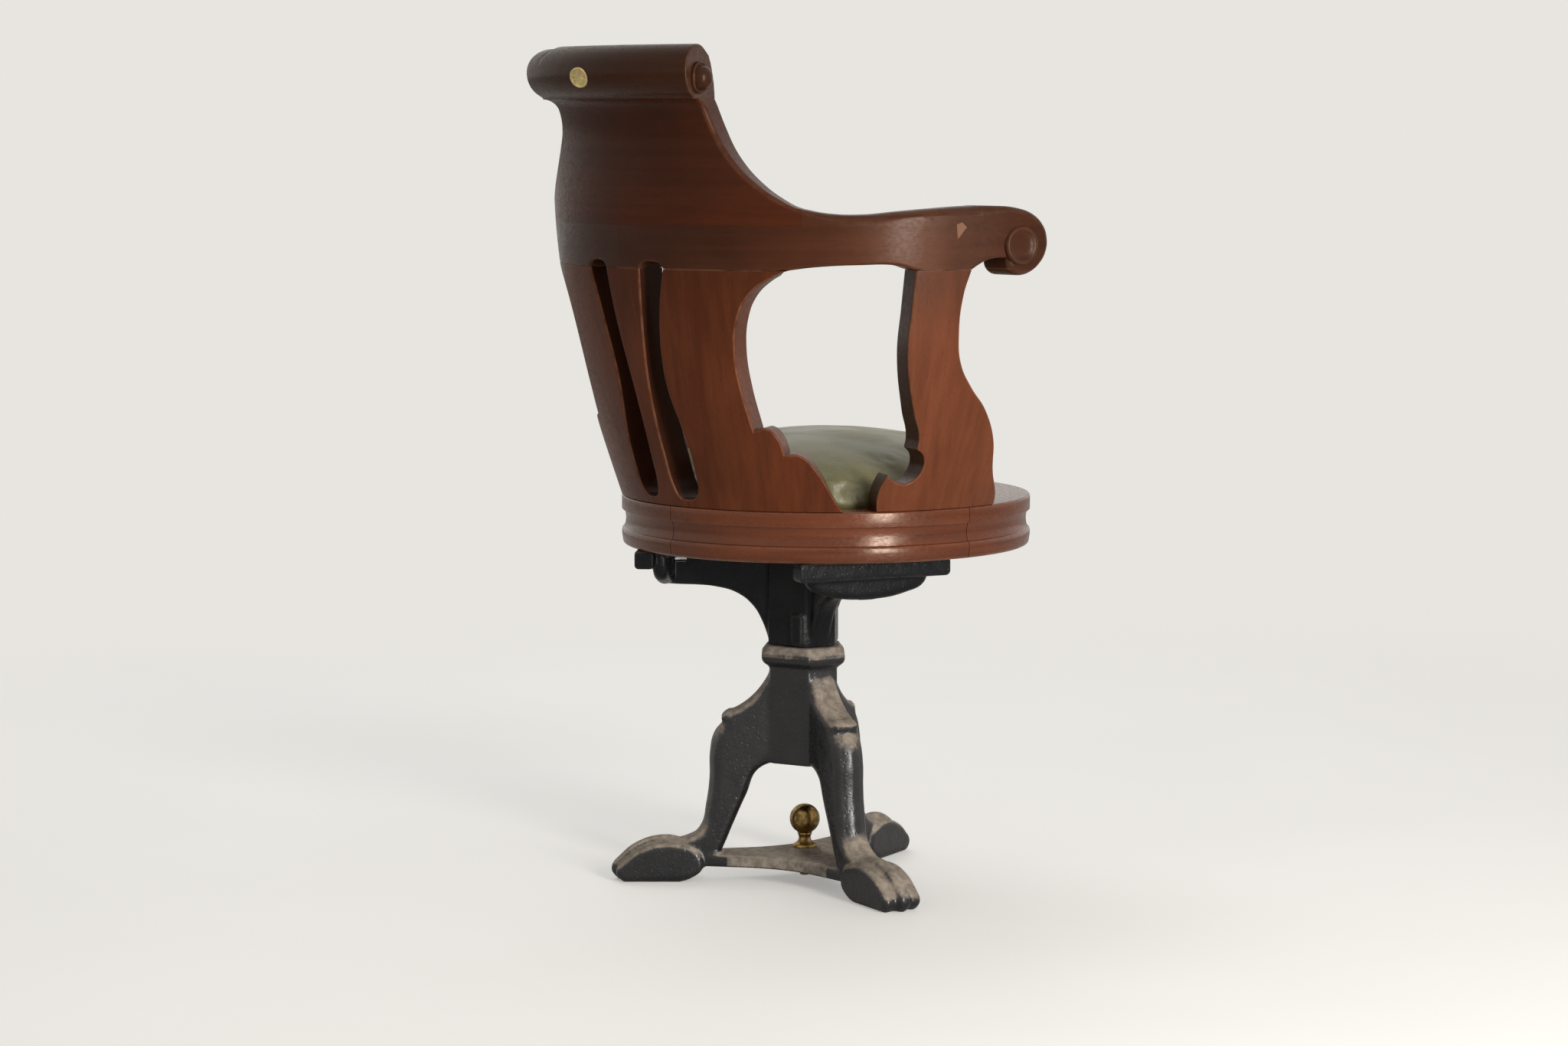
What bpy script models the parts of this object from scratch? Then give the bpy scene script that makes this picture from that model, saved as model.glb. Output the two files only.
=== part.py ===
"""A ship's captain's chair: a mahogany tub back on a round leather seat, turning on an iron tripod.

Metres, +Z up. The origin is where the swivel axis meets the floor, and the chair faces -Y.
Turns round the tub are counted in degrees from the middle of the back.
"""

import math

import bmesh
import bpy
from mathutils import Matrix, Vector

for old in list(bpy.data.objects):
    bpy.data.objects.remove(old, do_unlink=True)

# Fits
GAP = 0.0003  # between pieces that touch
RUNNING_GAP = 0.0006  # between the turning seat and the standing base

# Iron pedestal
BASE_HEIGHT = 0.253  # floor to the top of the collar
BASE_TURN = 48.0  # the first leg, from +X
LEG_COUNT = 3
LEG_WIDTH = 0.035
LEG_DROP = 0.002  # the legs leave the column this far below the collar
LEG_REACH = 0.206  # swivel axis to the toes
ARCH_TOP = 0.127
SOLE_LIFT = 0.002  # the ankle stays this far off the floor
PAW_WIDTH = 0.045
TOE_COUNT = 3
TOE_GROOVE = 0.0032
OUTER_TOE_TRIM = 0.007  # the outer toes are shorter and lower than the middle one
COLUMN_FACE = 0.0373  # swivel axis to the faces that carry the legs
COLLAR_HEIGHT = 0.021
COLLAR_LIP = 0.0085
WEB_TOP = 0.030
WEB_THICKNESS = 0.010
WEB_WAIST = 0.046  # swivel axis to the hollow edges of the web plate
WEB_BOSS_RADIUS = 0.019
WEB_BOSS_HEIGHT = 0.005

# Deck screw
SCREW_RADIUS = 0.005
SCREW_TIP = 0.005  # clear of the floor
KNOB_RADIUS = 0.016
KNOB_HEIGHT = 0.046  # above the web plate
KNOB_FOOT = 0.0125
KNOB_NECK = 0.0065

# Swivel
SPINDLE_RADIUS = 0.014
SPINDLE_SEAT = 0.118  # length held in the pedestal
BUSH_WALL = 0.0035
THRUST_RADIUS = 0.0255
THRUST_THICKNESS = 0.003
NUT_RADIUS = 0.022
NUT_HEIGHT = 0.013
KEEPER_THICKNESS = 0.003

# Iron spider under the seat
SPIDER_TURN = 43.0  # the first arm, from +X
SPIDER_RISE = 0.1062  # underside of the hub to the top of the pads
HUB_HEIGHT = 0.097
WEB_WIDTH = 0.024
ARM_ROOT = 0.003  # the webs leave the hub this far above its underside
PAD_INSET = 0.045  # outside of the ring to the outside of the pads
PAD_LENGTH = 0.170
LIP_WIDTH = 0.020
LIP_HEIGHT = 0.020
FLANGE_WIDTH = 0.056
FLANGE_LENGTH = 0.132
FLANGE_THICKNESS = 0.008
GUSSET_LENGTH = 0.140
GUSSET_DEPTH = 0.043  # below the top of the pads
GUSSET_WIDTH = 0.017

# Seat
TUB_FORWARD = 0.030  # the seat sits this far in front of the swivel axis
RING_RADIUS = 0.216
RING_HEIGHT = 0.0525
RING_BORE = 0.085
RIM_WIDTH = 0.038  # of the ring round the seat
LEDGE_DROP = 0.019  # top of the ring to the ledge that holds the seat
FASCIA_HEIGHT = 0.018
COVE_HEIGHT = 0.019
COVE_DEPTH = 0.0026
SEAT_BOARD = 0.012
CUSHION_INSET = 0.0025
CUSHION_CROWN = 0.065  # above the ring
CUSHION_BULGE = 0.0088  # the widest part, beyond the part inside the ring
TONGUE_LENGTH = 0.040
TONGUE_WIDTH = 0.034
TONGUE_THICKNESS = 0.008
TONGUE_INSET = 0.026  # outside of the ring to the middle of the tongues

# Coach screws
COACH_RADIUS = 0.004
COACH_HEAD = 0.0085
COACH_HEAD_HEIGHT = 0.006
COACH_BITE = 0.020  # length in the ring
COACH_SPREAD = 0.096  # between the two screws of a pad
COACH_INSET = 0.044  # outside of the pad to the line through them

# Tub back
BOARD = 0.035  # thickness of the bent boards
BACK_FLARE = 0.0695
FLARE_HEIGHT = 0.330
ARM_SPLAY = 0.055  # how fast the arms leave the circle of the tub
SPLAY_TURN = 65.0
UPRIGHT_HEIGHT = 0.2437
ARM_BACK_HEIGHT = 0.043  # the arm bow under the comb
ARM_HEIGHT = 0.061
COMB_HEIGHT = 0.1245
COMB_END_TURN = 42.5
COMB_SWEEP = 0.011  # the comb's top bends out under the crest
COMB_SWEEP_HEIGHT = 0.040
CREST_RADIUS = 0.0265
CREST_TURN = 22.6
CREST_OUT = 0.0025  # roll's centre outside the comb's outer face
SCROLL_TURN = 88.0
SCROLL_RADIUS = 0.0280
SCROLL_LIFT = 0.0235  # scroll's centre above the underside of the arm
SCROLL_WIDTH = 0.041
SLOT_END = 0.008  # height of the wood below the slots
SLOT_JOINT_TURN = 7.4  # where splat and panels meet below the slots
SLOT_INNER_TURN = 4.7
SLOT_OUTER_TURN = 12.6
WINDOW_REAR_TURN = 39.4  # the opening under the arm, at the arm
WINDOW_FRONT_TURN = 65.8
POST_FRONT_TURN = 78.2
ROUNDEL_RADIUS = 0.0195
ROUNDEL_DEPTH = 0.005
BOSS_RADIUS = 0.0175
BOSS_DEPTH = 0.005
BOSS_DROP = 0.0065  # below the middle of the roll
BUTTON_RADIUS = 0.0132
PLATE_LENGTH = 0.029
PLATE_WIDTH = 0.0206
PLATE_THICKNESS = 0.0025
PLATE_TURN = -2.0  # set a little to the left
PLATE_TILT_TURN = 13.0  # it faces down by this much, on the lower half of the roll
PLATE_HOLE = 0.0014
PLATE_HOLE_SPREAD = 0.0188

# Dowels, and the turns they stand at
DOWEL_RADIUS = 0.005
DOWEL_LENGTH = 0.036
PANEL_TOP_TURN = 21.0
PANEL_FOOT_TURN = 30.0
POST_TOP_TURN = 72.0
POST_FOOT_TURN = 78.0
SPLAT_FOOT_TURN = 4.0
COMB_DOWEL_TURN = 18.0
CREST_DOWEL_TURN = 14.0

# Facets
CURVE_STEPS = 2
BEND_TURN = 9.0  # degrees
BEND_RISE = 0.040
ROUND_STEPS = 24
SMALL_STEPS = 16
DOWEL_STEPS = 8
WELD = 0.00001
SNAP = 0.0004

# Heights and places that follow from these
LEG_TOP = BASE_HEIGHT - COLLAR_HEIGHT - LEG_DROP
BOSS_TOP = WEB_TOP + WEB_BOSS_HEIGHT
SEAT_RADIUS = RING_RADIUS - RIM_WIDTH
TONGUE_RADIUS = RING_RADIUS - TONGUE_INSET
PAD_REACH = RING_RADIUS - PAD_INSET
COACH_OUT = PAD_REACH - COACH_INSET
HUB_BOTTOM = BASE_HEIGHT + RUNNING_GAP
PAD_TOP = HUB_BOTTOM + SPIDER_RISE
RING_BOTTOM = PAD_TOP + GAP
RING_TOP = RING_BOTTOM + RING_HEIGHT
LEDGE = RING_TOP - LEDGE_DROP
UPRIGHT_BOTTOM = RING_TOP + GAP
UPRIGHT_TOP = UPRIGHT_BOTTOM + UPRIGHT_HEIGHT
ARM_BOTTOM = UPRIGHT_TOP + GAP
COMB_BOTTOM = ARM_BOTTOM + ARM_BACK_HEIGHT + GAP
COMB_TOP = COMB_BOTTOM + COMB_HEIGHT
CREST_BOTTOM = COMB_TOP + GAP
TUB_Y = -TUB_FORWARD
BEND_RADIUS = RING_RADIUS + BACK_FLARE / 2

PIECES = bpy.data.collections.new("captains_chair")
HELPERS = bpy.data.collections.new("cutters")
for group in (PIECES, HELPERS):
    bpy.context.scene.collection.children.link(group)
HELPERS.hide_render = True


def finish(name, color, roughness, metallic=0.0):
    made = bpy.data.materials.new(name)
    made.use_nodes = True
    shader = made.node_tree.nodes["Principled BSDF"]
    shader.inputs["Base Color"].default_value = (*color, 1.0)
    shader.inputs["Roughness"].default_value = roughness
    shader.inputs["Metallic"].default_value = metallic
    return made


MAHOGANY = finish("mahogany", (0.17, 0.045, 0.018), 0.35)
DARK_MAHOGANY = finish("dark_mahogany", (0.075, 0.024, 0.012), 0.35)
BEECH = finish("beech", (0.48, 0.33, 0.19), 0.6)
LEATHER = finish("green_leather", (0.035, 0.055, 0.028), 0.45)
IRON = finish("black_iron", (0.016, 0.016, 0.018), 0.4, 0.6)
STEEL = finish("steel", (0.42, 0.42, 0.44), 0.35, 1.0)
BRASS = finish("brass", (0.52, 0.38, 0.13), 0.35, 1.0)


def axis_empty(name):
    made = bpy.data.objects.new(name, None)
    PIECES.objects.link(made)
    return made


SEAT_AXIS = axis_empty("seat_swivel_axis")
BASE_FRAME = axis_empty("base_frame")
SCREW_AXIS = axis_empty("deck_screw_axis")


def piece(name, solid, look, carrier):
    """A closed bmesh as a named sub-part, shaded smooth between its sharp edges."""
    bmesh.ops.recalc_face_normals(solid, faces=solid.faces)
    mesh = bpy.data.meshes.new(name)
    solid.to_mesh(mesh)
    solid.free()
    mesh.materials.append(look)
    mesh.shade_smooth()
    mesh.set_sharp_from_angle(angle=math.radians(35))
    made = bpy.data.objects.new(name, mesh)
    made.parent = carrier
    PIECES.objects.link(made)
    return made


def helper(name, solid, group=HELPERS):
    """A closed bmesh that cuts or joins a sub-part, and isn't one itself."""
    bmesh.ops.recalc_face_normals(solid, faces=solid.faces)
    mesh = bpy.data.meshes.new(name)
    solid.to_mesh(mesh)
    solid.free()
    made = bpy.data.objects.new(name, mesh)
    made.hide_render = True
    made.display_type = "WIRE"
    group.objects.link(made)
    return made


def boolean(host, other, operation):
    step = host.modifiers.new(f"{operation.lower()} {other.name}", "BOOLEAN")
    step.operation = operation
    step.solver = "EXACT"
    if isinstance(other, bpy.types.Collection):
        step.operand_type = "COLLECTION"
        step.collection = other
    else:
        step.object = other


def cast_together(host, parts):
    """Joins the parts of one casting to the host."""
    group = bpy.data.collections.new(f"{host.name}_casting")
    HELPERS.children.link(group)
    for name, solid in parts:
        helper(name, solid, group)
    boolean(host, group, "UNION")


def outline_solid(outline, depth):
    """A closed flat outline as a slab, centred on its plane.

    A knot is (across, up, corner), and the line is smooth through it unless it is a corner.
    """
    curve = bpy.data.curves.new("outline", "CURVE")
    curve.dimensions = "2D"
    curve.fill_mode = "BOTH"
    curve.extrude = depth / 2
    curve.resolution_u = CURVE_STEPS
    spline = curve.splines.new("BEZIER")
    spline.use_cyclic_u = True
    spline.bezier_points.add(len(outline) - 1)
    for knot, (across, up, corner) in zip(spline.bezier_points, outline):
        knot.co = (across, up, 0)
        knot.handle_left_type = "VECTOR" if corner else "AUTO"
        knot.handle_right_type = knot.handle_left_type
    guide = bpy.data.objects.new("outline", curve)
    bpy.context.scene.collection.objects.link(guide)
    graph = bpy.context.evaluated_depsgraph_get()
    mesh = bpy.data.meshes.new_from_object(guide.evaluated_get(graph))
    bpy.data.objects.remove(guide)
    solid = bmesh.new()
    solid.from_mesh(mesh)
    bpy.data.meshes.remove(mesh)
    bmesh.ops.remove_doubles(solid, verts=solid.verts, dist=WELD)
    flat = math.radians(0.5)
    bmesh.ops.dissolve_limit(solid, angle_limit=flat, verts=solid.verts, edges=solid.edges)
    return solid


def slice_along(solid, axis, spacing):
    """Edges across a solid at even spacing, so that it can bend."""
    places = [vert.co[axis] for vert in solid.verts]
    normal = Vector((0, 0, 0))
    normal[axis] = 1
    first = math.floor(min(places) / spacing) + 1
    for step in range(first, math.ceil(max(places) / spacing)):
        everything = solid.verts[:] + solid.edges[:] + solid.faces[:]
        place = normal * (step * spacing)
        bmesh.ops.bisect_plane(solid, geom=everything, dist=SNAP, plane_co=place, plane_no=normal)


def tub_radius(height, turn):
    """Outer radius of the tub: it flares with height, and the arms splay towards the front."""
    rise = min(max((height - RING_TOP) / FLARE_HEIGHT, 0.0), 1.0)
    lift = min(max((height - RING_TOP) / UPRIGHT_HEIGHT, 0.0), 1.0)
    past = max(abs(turn) - math.radians(SPLAY_TURN), 0.0)
    sweep = max((height - COMB_TOP) / COMB_SWEEP_HEIGHT + 1.0, 0.0)
    flare = BACK_FLARE * math.sin(rise * math.pi / 2)
    return RING_RADIUS + flare + ARM_SPLAY * lift * past**2 + COMB_SWEEP * sweep**2


def around_tub(turn, radius, height):
    """A turn in radians from the middle of the back, to the chair's right, as a point."""
    return Vector((-radius * math.sin(turn), TUB_Y + radius * math.cos(turn), height))


def tub_point(turn, depth, height):
    """A point of the tub, at a depth inside its outer face."""
    return around_tub(turn, tub_radius(height, turn) - depth, height)


def bent_board(name, outline, look=MAHOGANY):
    """A board of the tub, sawn to an outline of (turn, height, corner) and bent round."""
    flat = [(math.radians(turn) * BEND_RADIUS, height, corner) for turn, height, corner in outline]
    solid = outline_solid(flat, BOARD)
    slice_along(solid, 0, math.radians(BEND_TURN) * BEND_RADIUS)
    slice_along(solid, 1, BEND_RISE)
    for vert in solid.verts:
        turn = vert.co.x / BEND_RADIUS
        vert.co = tub_point(turn, BOARD / 2 - vert.co.z, vert.co.y)
    return piece(name, solid, look, SEAT_AXIS)


def arc_sweep(name, profile, start, end, look):
    """A moulding of one (radius, height, corner) profile, swept round the tub from turn to turn."""
    solid = outline_solid(profile, end - start)
    middle = (start + end) / 2
    for vert in solid.verts:
        vert.co.z += middle
    slice_along(solid, 2, BEND_TURN)
    for vert in solid.verts:
        vert.co = around_tub(math.radians(vert.co.z), vert.co.x, vert.co.y)
    return piece(name, solid, look, SEAT_AXIS)


def turned(name, profile, look, carrier, steps=ROUND_STEPS, closed=False):
    """A turned piece: (radius, height) pairs down its outer side, swept round Z."""
    mesh = bpy.data.meshes.new(name)
    edges = [(i, i + 1) for i in range(len(profile) - 1)]
    if closed:
        edges.append((len(profile) - 1, 0))
    mesh.from_pydata([(radius, 0, height) for radius, height in profile], edges, [])
    mesh.materials.append(look)
    made = bpy.data.objects.new(name, mesh)
    made.parent = carrier
    PIECES.objects.link(made)
    sweep = made.modifiers.new("turn", "SCREW")
    sweep.steps = steps
    sweep.render_steps = steps
    sweep.use_merge_vertices = True
    sweep.merge_threshold = WELD
    sweep.use_smooth_shade = True
    return made


def collar_profile(inner, outer, bottom, top):
    """A closed profile of a washer or bush."""
    return [(outer, top), (outer, bottom), (inner, bottom), (inner, top)]


def cylinder(radius, bottom, top, steps, place=(0, 0)):
    solid = bmesh.new()
    middle = Matrix.Translation((*place, (bottom + top) / 2))
    bmesh.ops.create_cone(
        solid,
        cap_ends=True,
        segments=steps,
        radius1=radius,
        radius2=radius,
        depth=top - bottom,
        matrix=middle,
    )
    return solid


def oval(length, width, bottom, top):
    solid = cylinder(width / 2, bottom, top, ROUND_STEPS)
    solid.transform(Matrix.Diagonal((length / width, 1.0, 1.0, 1.0)))
    return solid


def box(size, place):
    solid = bmesh.new()
    scale = Matrix.Diagonal((*size, 1.0))
    bmesh.ops.create_cube(solid, size=1.0, matrix=Matrix.Translation(place) @ scale)
    return solid


def stand_up(solid, turn):
    """Stands an outline of (radius, height) upright on a radius of the swivel axis."""
    upright = Matrix.Rotation(math.radians(turn), 4, "Z") @ Matrix.Rotation(math.pi / 2, 4, "X")
    solid.transform(upright)
    return solid


def three_sided(bottom, top, grow, turn):
    """The column's section: a triangle whose cut corners carry the legs or arms."""
    corners = []
    for arm in range(LEG_COUNT):
        facing = math.radians(turn + arm * 360 / LEG_COUNT)
        for side in (-1, 1):
            across = side * (LEG_WIDTH / 2 - GAP + grow / math.sqrt(3))
            out = COLUMN_FACE + grow
            x = out * math.cos(facing) - across * math.sin(facing)
            y = out * math.sin(facing) + across * math.cos(facing)
            corners.append((x, y, True))
    solid = outline_solid(corners, top - bottom)
    solid.transform(Matrix.Translation((0, 0, (bottom + top) / 2)))
    return solid


def leg_outline():
    """Shoulder, knee, shin and ankle of a leg, as (radius, height), back to the arch."""
    shape = [
        (0.0, 1.0, True),
        (0.166, 1.0, True),
        (0.212, 0.918, False),
        (0.301, 0.832, False),
        (0.415, 0.770, True),
        (0.421, 0.742, True),
        (0.467, 0.690, False),
        (0.490, 0.595, False),
        (0.492, 0.483, False),
        (0.510, 0.356, False),
        (0.538, 0.255, False),
        (0.600, 0.205, False),
        (0.740, 0.180, True),
        (0.740, SOLE_LIFT / LEG_TOP, True),
        (0.545, 0.042, False),
        (0.450, 0.092, False),
        (0.415, 0.170, False),
        (0.371, 0.263, False),
        (0.301, 0.404, False),
    ]
    outline = [(LEG_REACH * out, LEG_TOP * up, corner) for out, up, corner in shape]
    return outline + [(LEG_REACH * 0.235, ARCH_TOP * 0.95, False), (0.0, ARCH_TOP * 1.04, True)]


def paw_outline(trim, core=False):
    """A paw from the side, as (radius, height), on its flat sole."""
    shape = [
        (0.600, 0.0, True),
        (0.605, 0.125, False),
        (0.645, 0.196, False),
        (0.720, 0.208, False),
        (0.844, 0.184, False),
        (0.948, 0.118, False),
        (1.0, 0.050, False),
        (0.962, 0.0, True),
    ]
    reach = LEG_REACH - trim
    height = LEG_TOP * (1 - trim / LEG_REACH * 5)
    lift = SOLE_LIFT / 4 if core else 0.0
    return [(reach * out, height * up + lift, corner) for out, up, corner in shape]


def leg_parts(number):
    """A leg, its paw and the paw's toes."""
    turn = BASE_TURN + number * 360 / LEG_COUNT
    yield f"leg_{number}", stand_up(outline_solid(leg_outline(), LEG_WIDTH), turn)
    pitch = PAW_WIDTH / TOE_COUNT
    core = outline_solid(paw_outline(OUTER_TOE_TRIM + TOE_GROOVE, core=True), pitch * 2)
    yield f"paw_{number}", stand_up(core, turn)
    for toe in range(TOE_COUNT):
        outer = toe != TOE_COUNT // 2
        solid = outline_solid(paw_outline(OUTER_TOE_TRIM if outer else 0.0), pitch - TOE_GROOVE)
        across = (toe - (TOE_COUNT - 1) / 2) * pitch
        solid.transform(Matrix.Translation((0, 0, across)))
        yield f"toe_{number}_{toe}", stand_up(solid, turn)


def web_plate():
    """The plate low between the legs, with hollow edges."""
    knots = []
    for number in range(LEG_COUNT):
        facing = BASE_TURN + number * 360 / LEG_COUNT
        reach = LEG_REACH * 0.55
        for side in (-1, 1):
            across = side * LEG_WIDTH * 0.45
            turn = math.radians(facing)
            x = reach * math.cos(turn) - across * math.sin(turn)
            y = reach * math.sin(turn) + across * math.cos(turn)
            knots.append((x, y, True))
        between = math.radians(facing + 180 / LEG_COUNT)
        knots.append((WEB_WAIST * math.cos(between), WEB_WAIST * math.sin(between), False))
    solid = outline_solid(knots, WEB_THICKNESS)
    solid.transform(Matrix.Translation((0, 0, WEB_TOP - WEB_THICKNESS / 2)))
    return solid


def pedestal():
    column = three_sided(ARCH_TOP, BASE_HEIGHT, 0.0, BASE_TURN)
    base = piece("pedestal_base", column, IRON, BASE_FRAME)
    collar_edge = COLLAR_HEIGHT * 0.3
    collar_bottom = BASE_HEIGHT - COLLAR_HEIGHT
    collar_top = BASE_HEIGHT - collar_edge
    parts = [
        ("collar", three_sided(collar_bottom + collar_edge, collar_top, COLLAR_LIP, BASE_TURN)),
        ("collar_core", three_sided(collar_bottom, BASE_HEIGHT - GAP, COLLAR_LIP * 0.6, BASE_TURN)),
        ("web_plate", web_plate()),
        ("web_boss", cylinder(WEB_BOSS_RADIUS, WEB_TOP - WEB_THICKNESS / 2, BOSS_TOP, SMALL_STEPS)),
    ]
    for number in range(LEG_COUNT):
        parts.extend(leg_parts(number))
    cast_together(base, parts)
    socket_floor = BASE_HEIGHT - SPINDLE_SEAT - GAP
    socket = cylinder(SPINDLE_RADIUS + GAP, socket_floor, BASE_HEIGHT + COLLAR_LIP, ROUND_STEPS)
    boolean(base, helper("spindle_socket", socket), "DIFFERENCE")
    hole = cylinder(SCREW_RADIUS + RUNNING_GAP, 0.0, BOSS_TOP + KNOB_FOOT, ROUND_STEPS)
    boolean(base, helper("deck_screw_hole", hole), "DIFFERENCE")


def deck_screw():
    """A brass hand screw with a ball knob, standing in the web plate."""
    seat = BOSS_TOP + GAP
    ball = seat + KNOB_HEIGHT - KNOB_RADIUS
    profile = [(0.0, ball + KNOB_RADIUS)]
    for angle in (65, 40, 15, -10, -35, -55):
        turn = math.radians(angle)
        profile.append((KNOB_RADIUS * math.cos(turn), ball + KNOB_RADIUS * math.sin(turn)))
    waist = (ball - KNOB_RADIUS + seat) / 2
    profile += [
        (KNOB_NECK, waist + KNOB_NECK * 0.4),
        (KNOB_NECK * 1.15, waist - KNOB_NECK * 0.3),
        (KNOB_FOOT * 0.85, seat + KNOB_FOOT * 0.3),
        (KNOB_FOOT, seat + KNOB_FOOT * 0.15),
        (KNOB_FOOT, seat),
        (SCREW_RADIUS, seat),
        (SCREW_RADIUS, SCREW_TIP),
        (0.0, SCREW_TIP),
    ]
    turned("deck_screw", profile, BRASS, SCREW_AXIS)


def swivel():
    """Spindle, thrust washer, keeper and nut stay with the base, and the bush turns with the seat."""
    washer_top = BASE_HEIGHT + GAP + THRUST_THICKNESS
    keeper_bottom = HUB_BOTTOM + HUB_HEIGHT + GAP
    nut_bottom = keeper_bottom + KEEPER_THICKNESS + GAP
    nut_top = nut_bottom + NUT_HEIGHT
    spindle_top = nut_top + SPINDLE_RADIUS * 0.3
    chamfer = SPINDLE_RADIUS * 0.15
    spindle = [
        (0.0, spindle_top),
        (SPINDLE_RADIUS - chamfer, spindle_top),
        (SPINDLE_RADIUS, spindle_top - chamfer),
        (SPINDLE_RADIUS, BASE_HEIGHT - SPINDLE_SEAT),
        (0.0, BASE_HEIGHT - SPINDLE_SEAT),
    ]
    turned("swivel_spindle", spindle, STEEL, BASE_FRAME)
    bore = SPINDLE_RADIUS + GAP
    thrust = collar_profile(bore, THRUST_RADIUS, BASE_HEIGHT + GAP, washer_top)
    turned("thrust_washer", thrust, BRASS, BASE_FRAME, closed=True)
    keeper = collar_profile(bore, THRUST_RADIUS, keeper_bottom, keeper_bottom + KEEPER_THICKNESS)
    turned("keeper_washer", keeper, STEEL, BASE_FRAME, closed=True)
    nut = piece("spindle_nut", cylinder(NUT_RADIUS, nut_bottom, nut_top, 6), STEEL, BASE_FRAME)
    thread = cylinder(bore, nut_bottom - NUT_HEIGHT, nut_top + NUT_HEIGHT, ROUND_STEPS)
    boolean(nut, helper("nut_bore", thread), "DIFFERENCE")
    outer = bore + GAP + BUSH_WALL
    bush = collar_profile(bore + GAP, outer, washer_top + RUNNING_GAP, HUB_BOTTOM + HUB_HEIGHT - GAP)
    turned("swivel_bush", bush, BRASS, SEAT_AXIS, closed=True)
    return outer, washer_top + RUNNING_GAP


def spider_parts(number):
    """An arm of the spider: its web, the lipped pad under the ring and the half-moon gusset below."""
    turn = SPIDER_TURN + number * 360 / LEG_COUNT
    root = HUB_BOTTOM + ARM_ROOT
    depth = PAD_TOP - root
    end = PAD_REACH - LIP_WIDTH / 2
    under = [(0.85, 0.575), (0.56, 0.546), (0.43, 0.479), (0.335, 0.355), (0.278, 0.203)]
    web = [(0.0, PAD_TOP - GAP, True), (end, PAD_TOP - GAP, True), (end, root + depth * 0.58, True)]
    web += [(end * out, root + depth * up, False) for out, up in under]
    web += [(COLUMN_FACE, root, True), (0.0, root, True)]
    yield f"web_{number}", stand_up(outline_solid(web, WEB_WIDTH), turn)
    spin = Matrix.Rotation(math.radians(turn), 4, "Z")
    lip = box((LIP_WIDTH, PAD_LENGTH, LIP_HEIGHT), (PAD_REACH - LIP_WIDTH / 2, 0, PAD_TOP - LIP_HEIGHT / 2))
    lip.transform(spin)
    yield f"lip_{number}", lip
    flange_size = (FLANGE_WIDTH, FLANGE_LENGTH, FLANGE_THICKNESS)
    flange_middle = PAD_REACH - GAP - FLANGE_WIDTH / 2
    flange = box(flange_size, (flange_middle, 0, PAD_TOP - GAP - FLANGE_THICKNESS / 2))
    flange.transform(spin)
    yield f"flange_{number}", flange
    half = GUSSET_LENGTH / 2
    moon = [(-half, -LIP_HEIGHT * 0.3, True)]
    for angle in (160, 130, 90, 50, 20):
        bend = math.radians(angle)
        drop = LIP_HEIGHT + (GUSSET_DEPTH - LIP_HEIGHT) * math.sin(bend)
        moon.append((half * math.cos(bend), -drop, False))
    moon.append((half, -LIP_HEIGHT * 0.3, True))
    gusset = outline_solid(moon, GUSSET_WIDTH)
    gusset.transform(Matrix.Rotation(math.pi / 2, 4, "X"))
    gusset.transform(Matrix.Rotation(math.pi / 2, 4, "Z"))
    gusset.transform(Matrix.Translation((PAD_REACH - LIP_WIDTH - GUSSET_WIDTH * 0.3, 0, PAD_TOP)))
    gusset.transform(spin)
    yield f"gusset_{number}", gusset


def spider(bush_radius, washer_top):
    hub = three_sided(HUB_BOTTOM, HUB_BOTTOM + HUB_HEIGHT, 0.0, SPIDER_TURN)
    made = piece("seat_spider", hub, IRON, SEAT_AXIS)
    parts = []
    for number in range(LEG_COUNT):
        parts.extend(spider_parts(number))
    cast_together(made, parts)
    bore = cylinder(bush_radius + GAP, BASE_HEIGHT, PAD_TOP + HUB_HEIGHT, ROUND_STEPS)
    boolean(made, helper("bush_bore", bore), "DIFFERENCE")
    recess = cylinder(THRUST_RADIUS + RUNNING_GAP, BASE_HEIGHT, washer_top, ROUND_STEPS)
    boolean(made, helper("thrust_recess", recess), "DIFFERENCE")
    nut_room = cylinder(COLUMN_FACE * 0.85, HUB_BOTTOM + HUB_HEIGHT, PAD_TOP + HUB_HEIGHT, ROUND_STEPS)
    boolean(made, helper("nut_room", nut_room), "DIFFERENCE")
    return made


def ring_profile():
    """The seat ring's section: fascia, shallow cove and bottom bead outside, a ledge inside."""
    cove_top = RING_TOP - FASCIA_HEIGHT
    cove_bottom = cove_top - COVE_HEIGHT
    bead = cove_bottom - RING_BOTTOM
    seat = SEAT_RADIUS + GAP * 3
    return [
        (seat, RING_TOP, True),
        (RING_RADIUS, RING_TOP, True),
        (RING_RADIUS, cove_top, True),
        (RING_RADIUS - COVE_DEPTH, cove_top - COVE_DEPTH, True),
        (RING_RADIUS - COVE_DEPTH, cove_bottom, True),
        (RING_RADIUS, cove_bottom - bead * 0.25, True),
        (RING_RADIUS, RING_BOTTOM + bead * 0.35, True),
        (RING_RADIUS - bead * 0.25, RING_BOTTOM, True),
        (RING_BORE, RING_BOTTOM, True),
        (RING_BORE, LEDGE, True),
        (seat, LEDGE, True),
    ]


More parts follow.
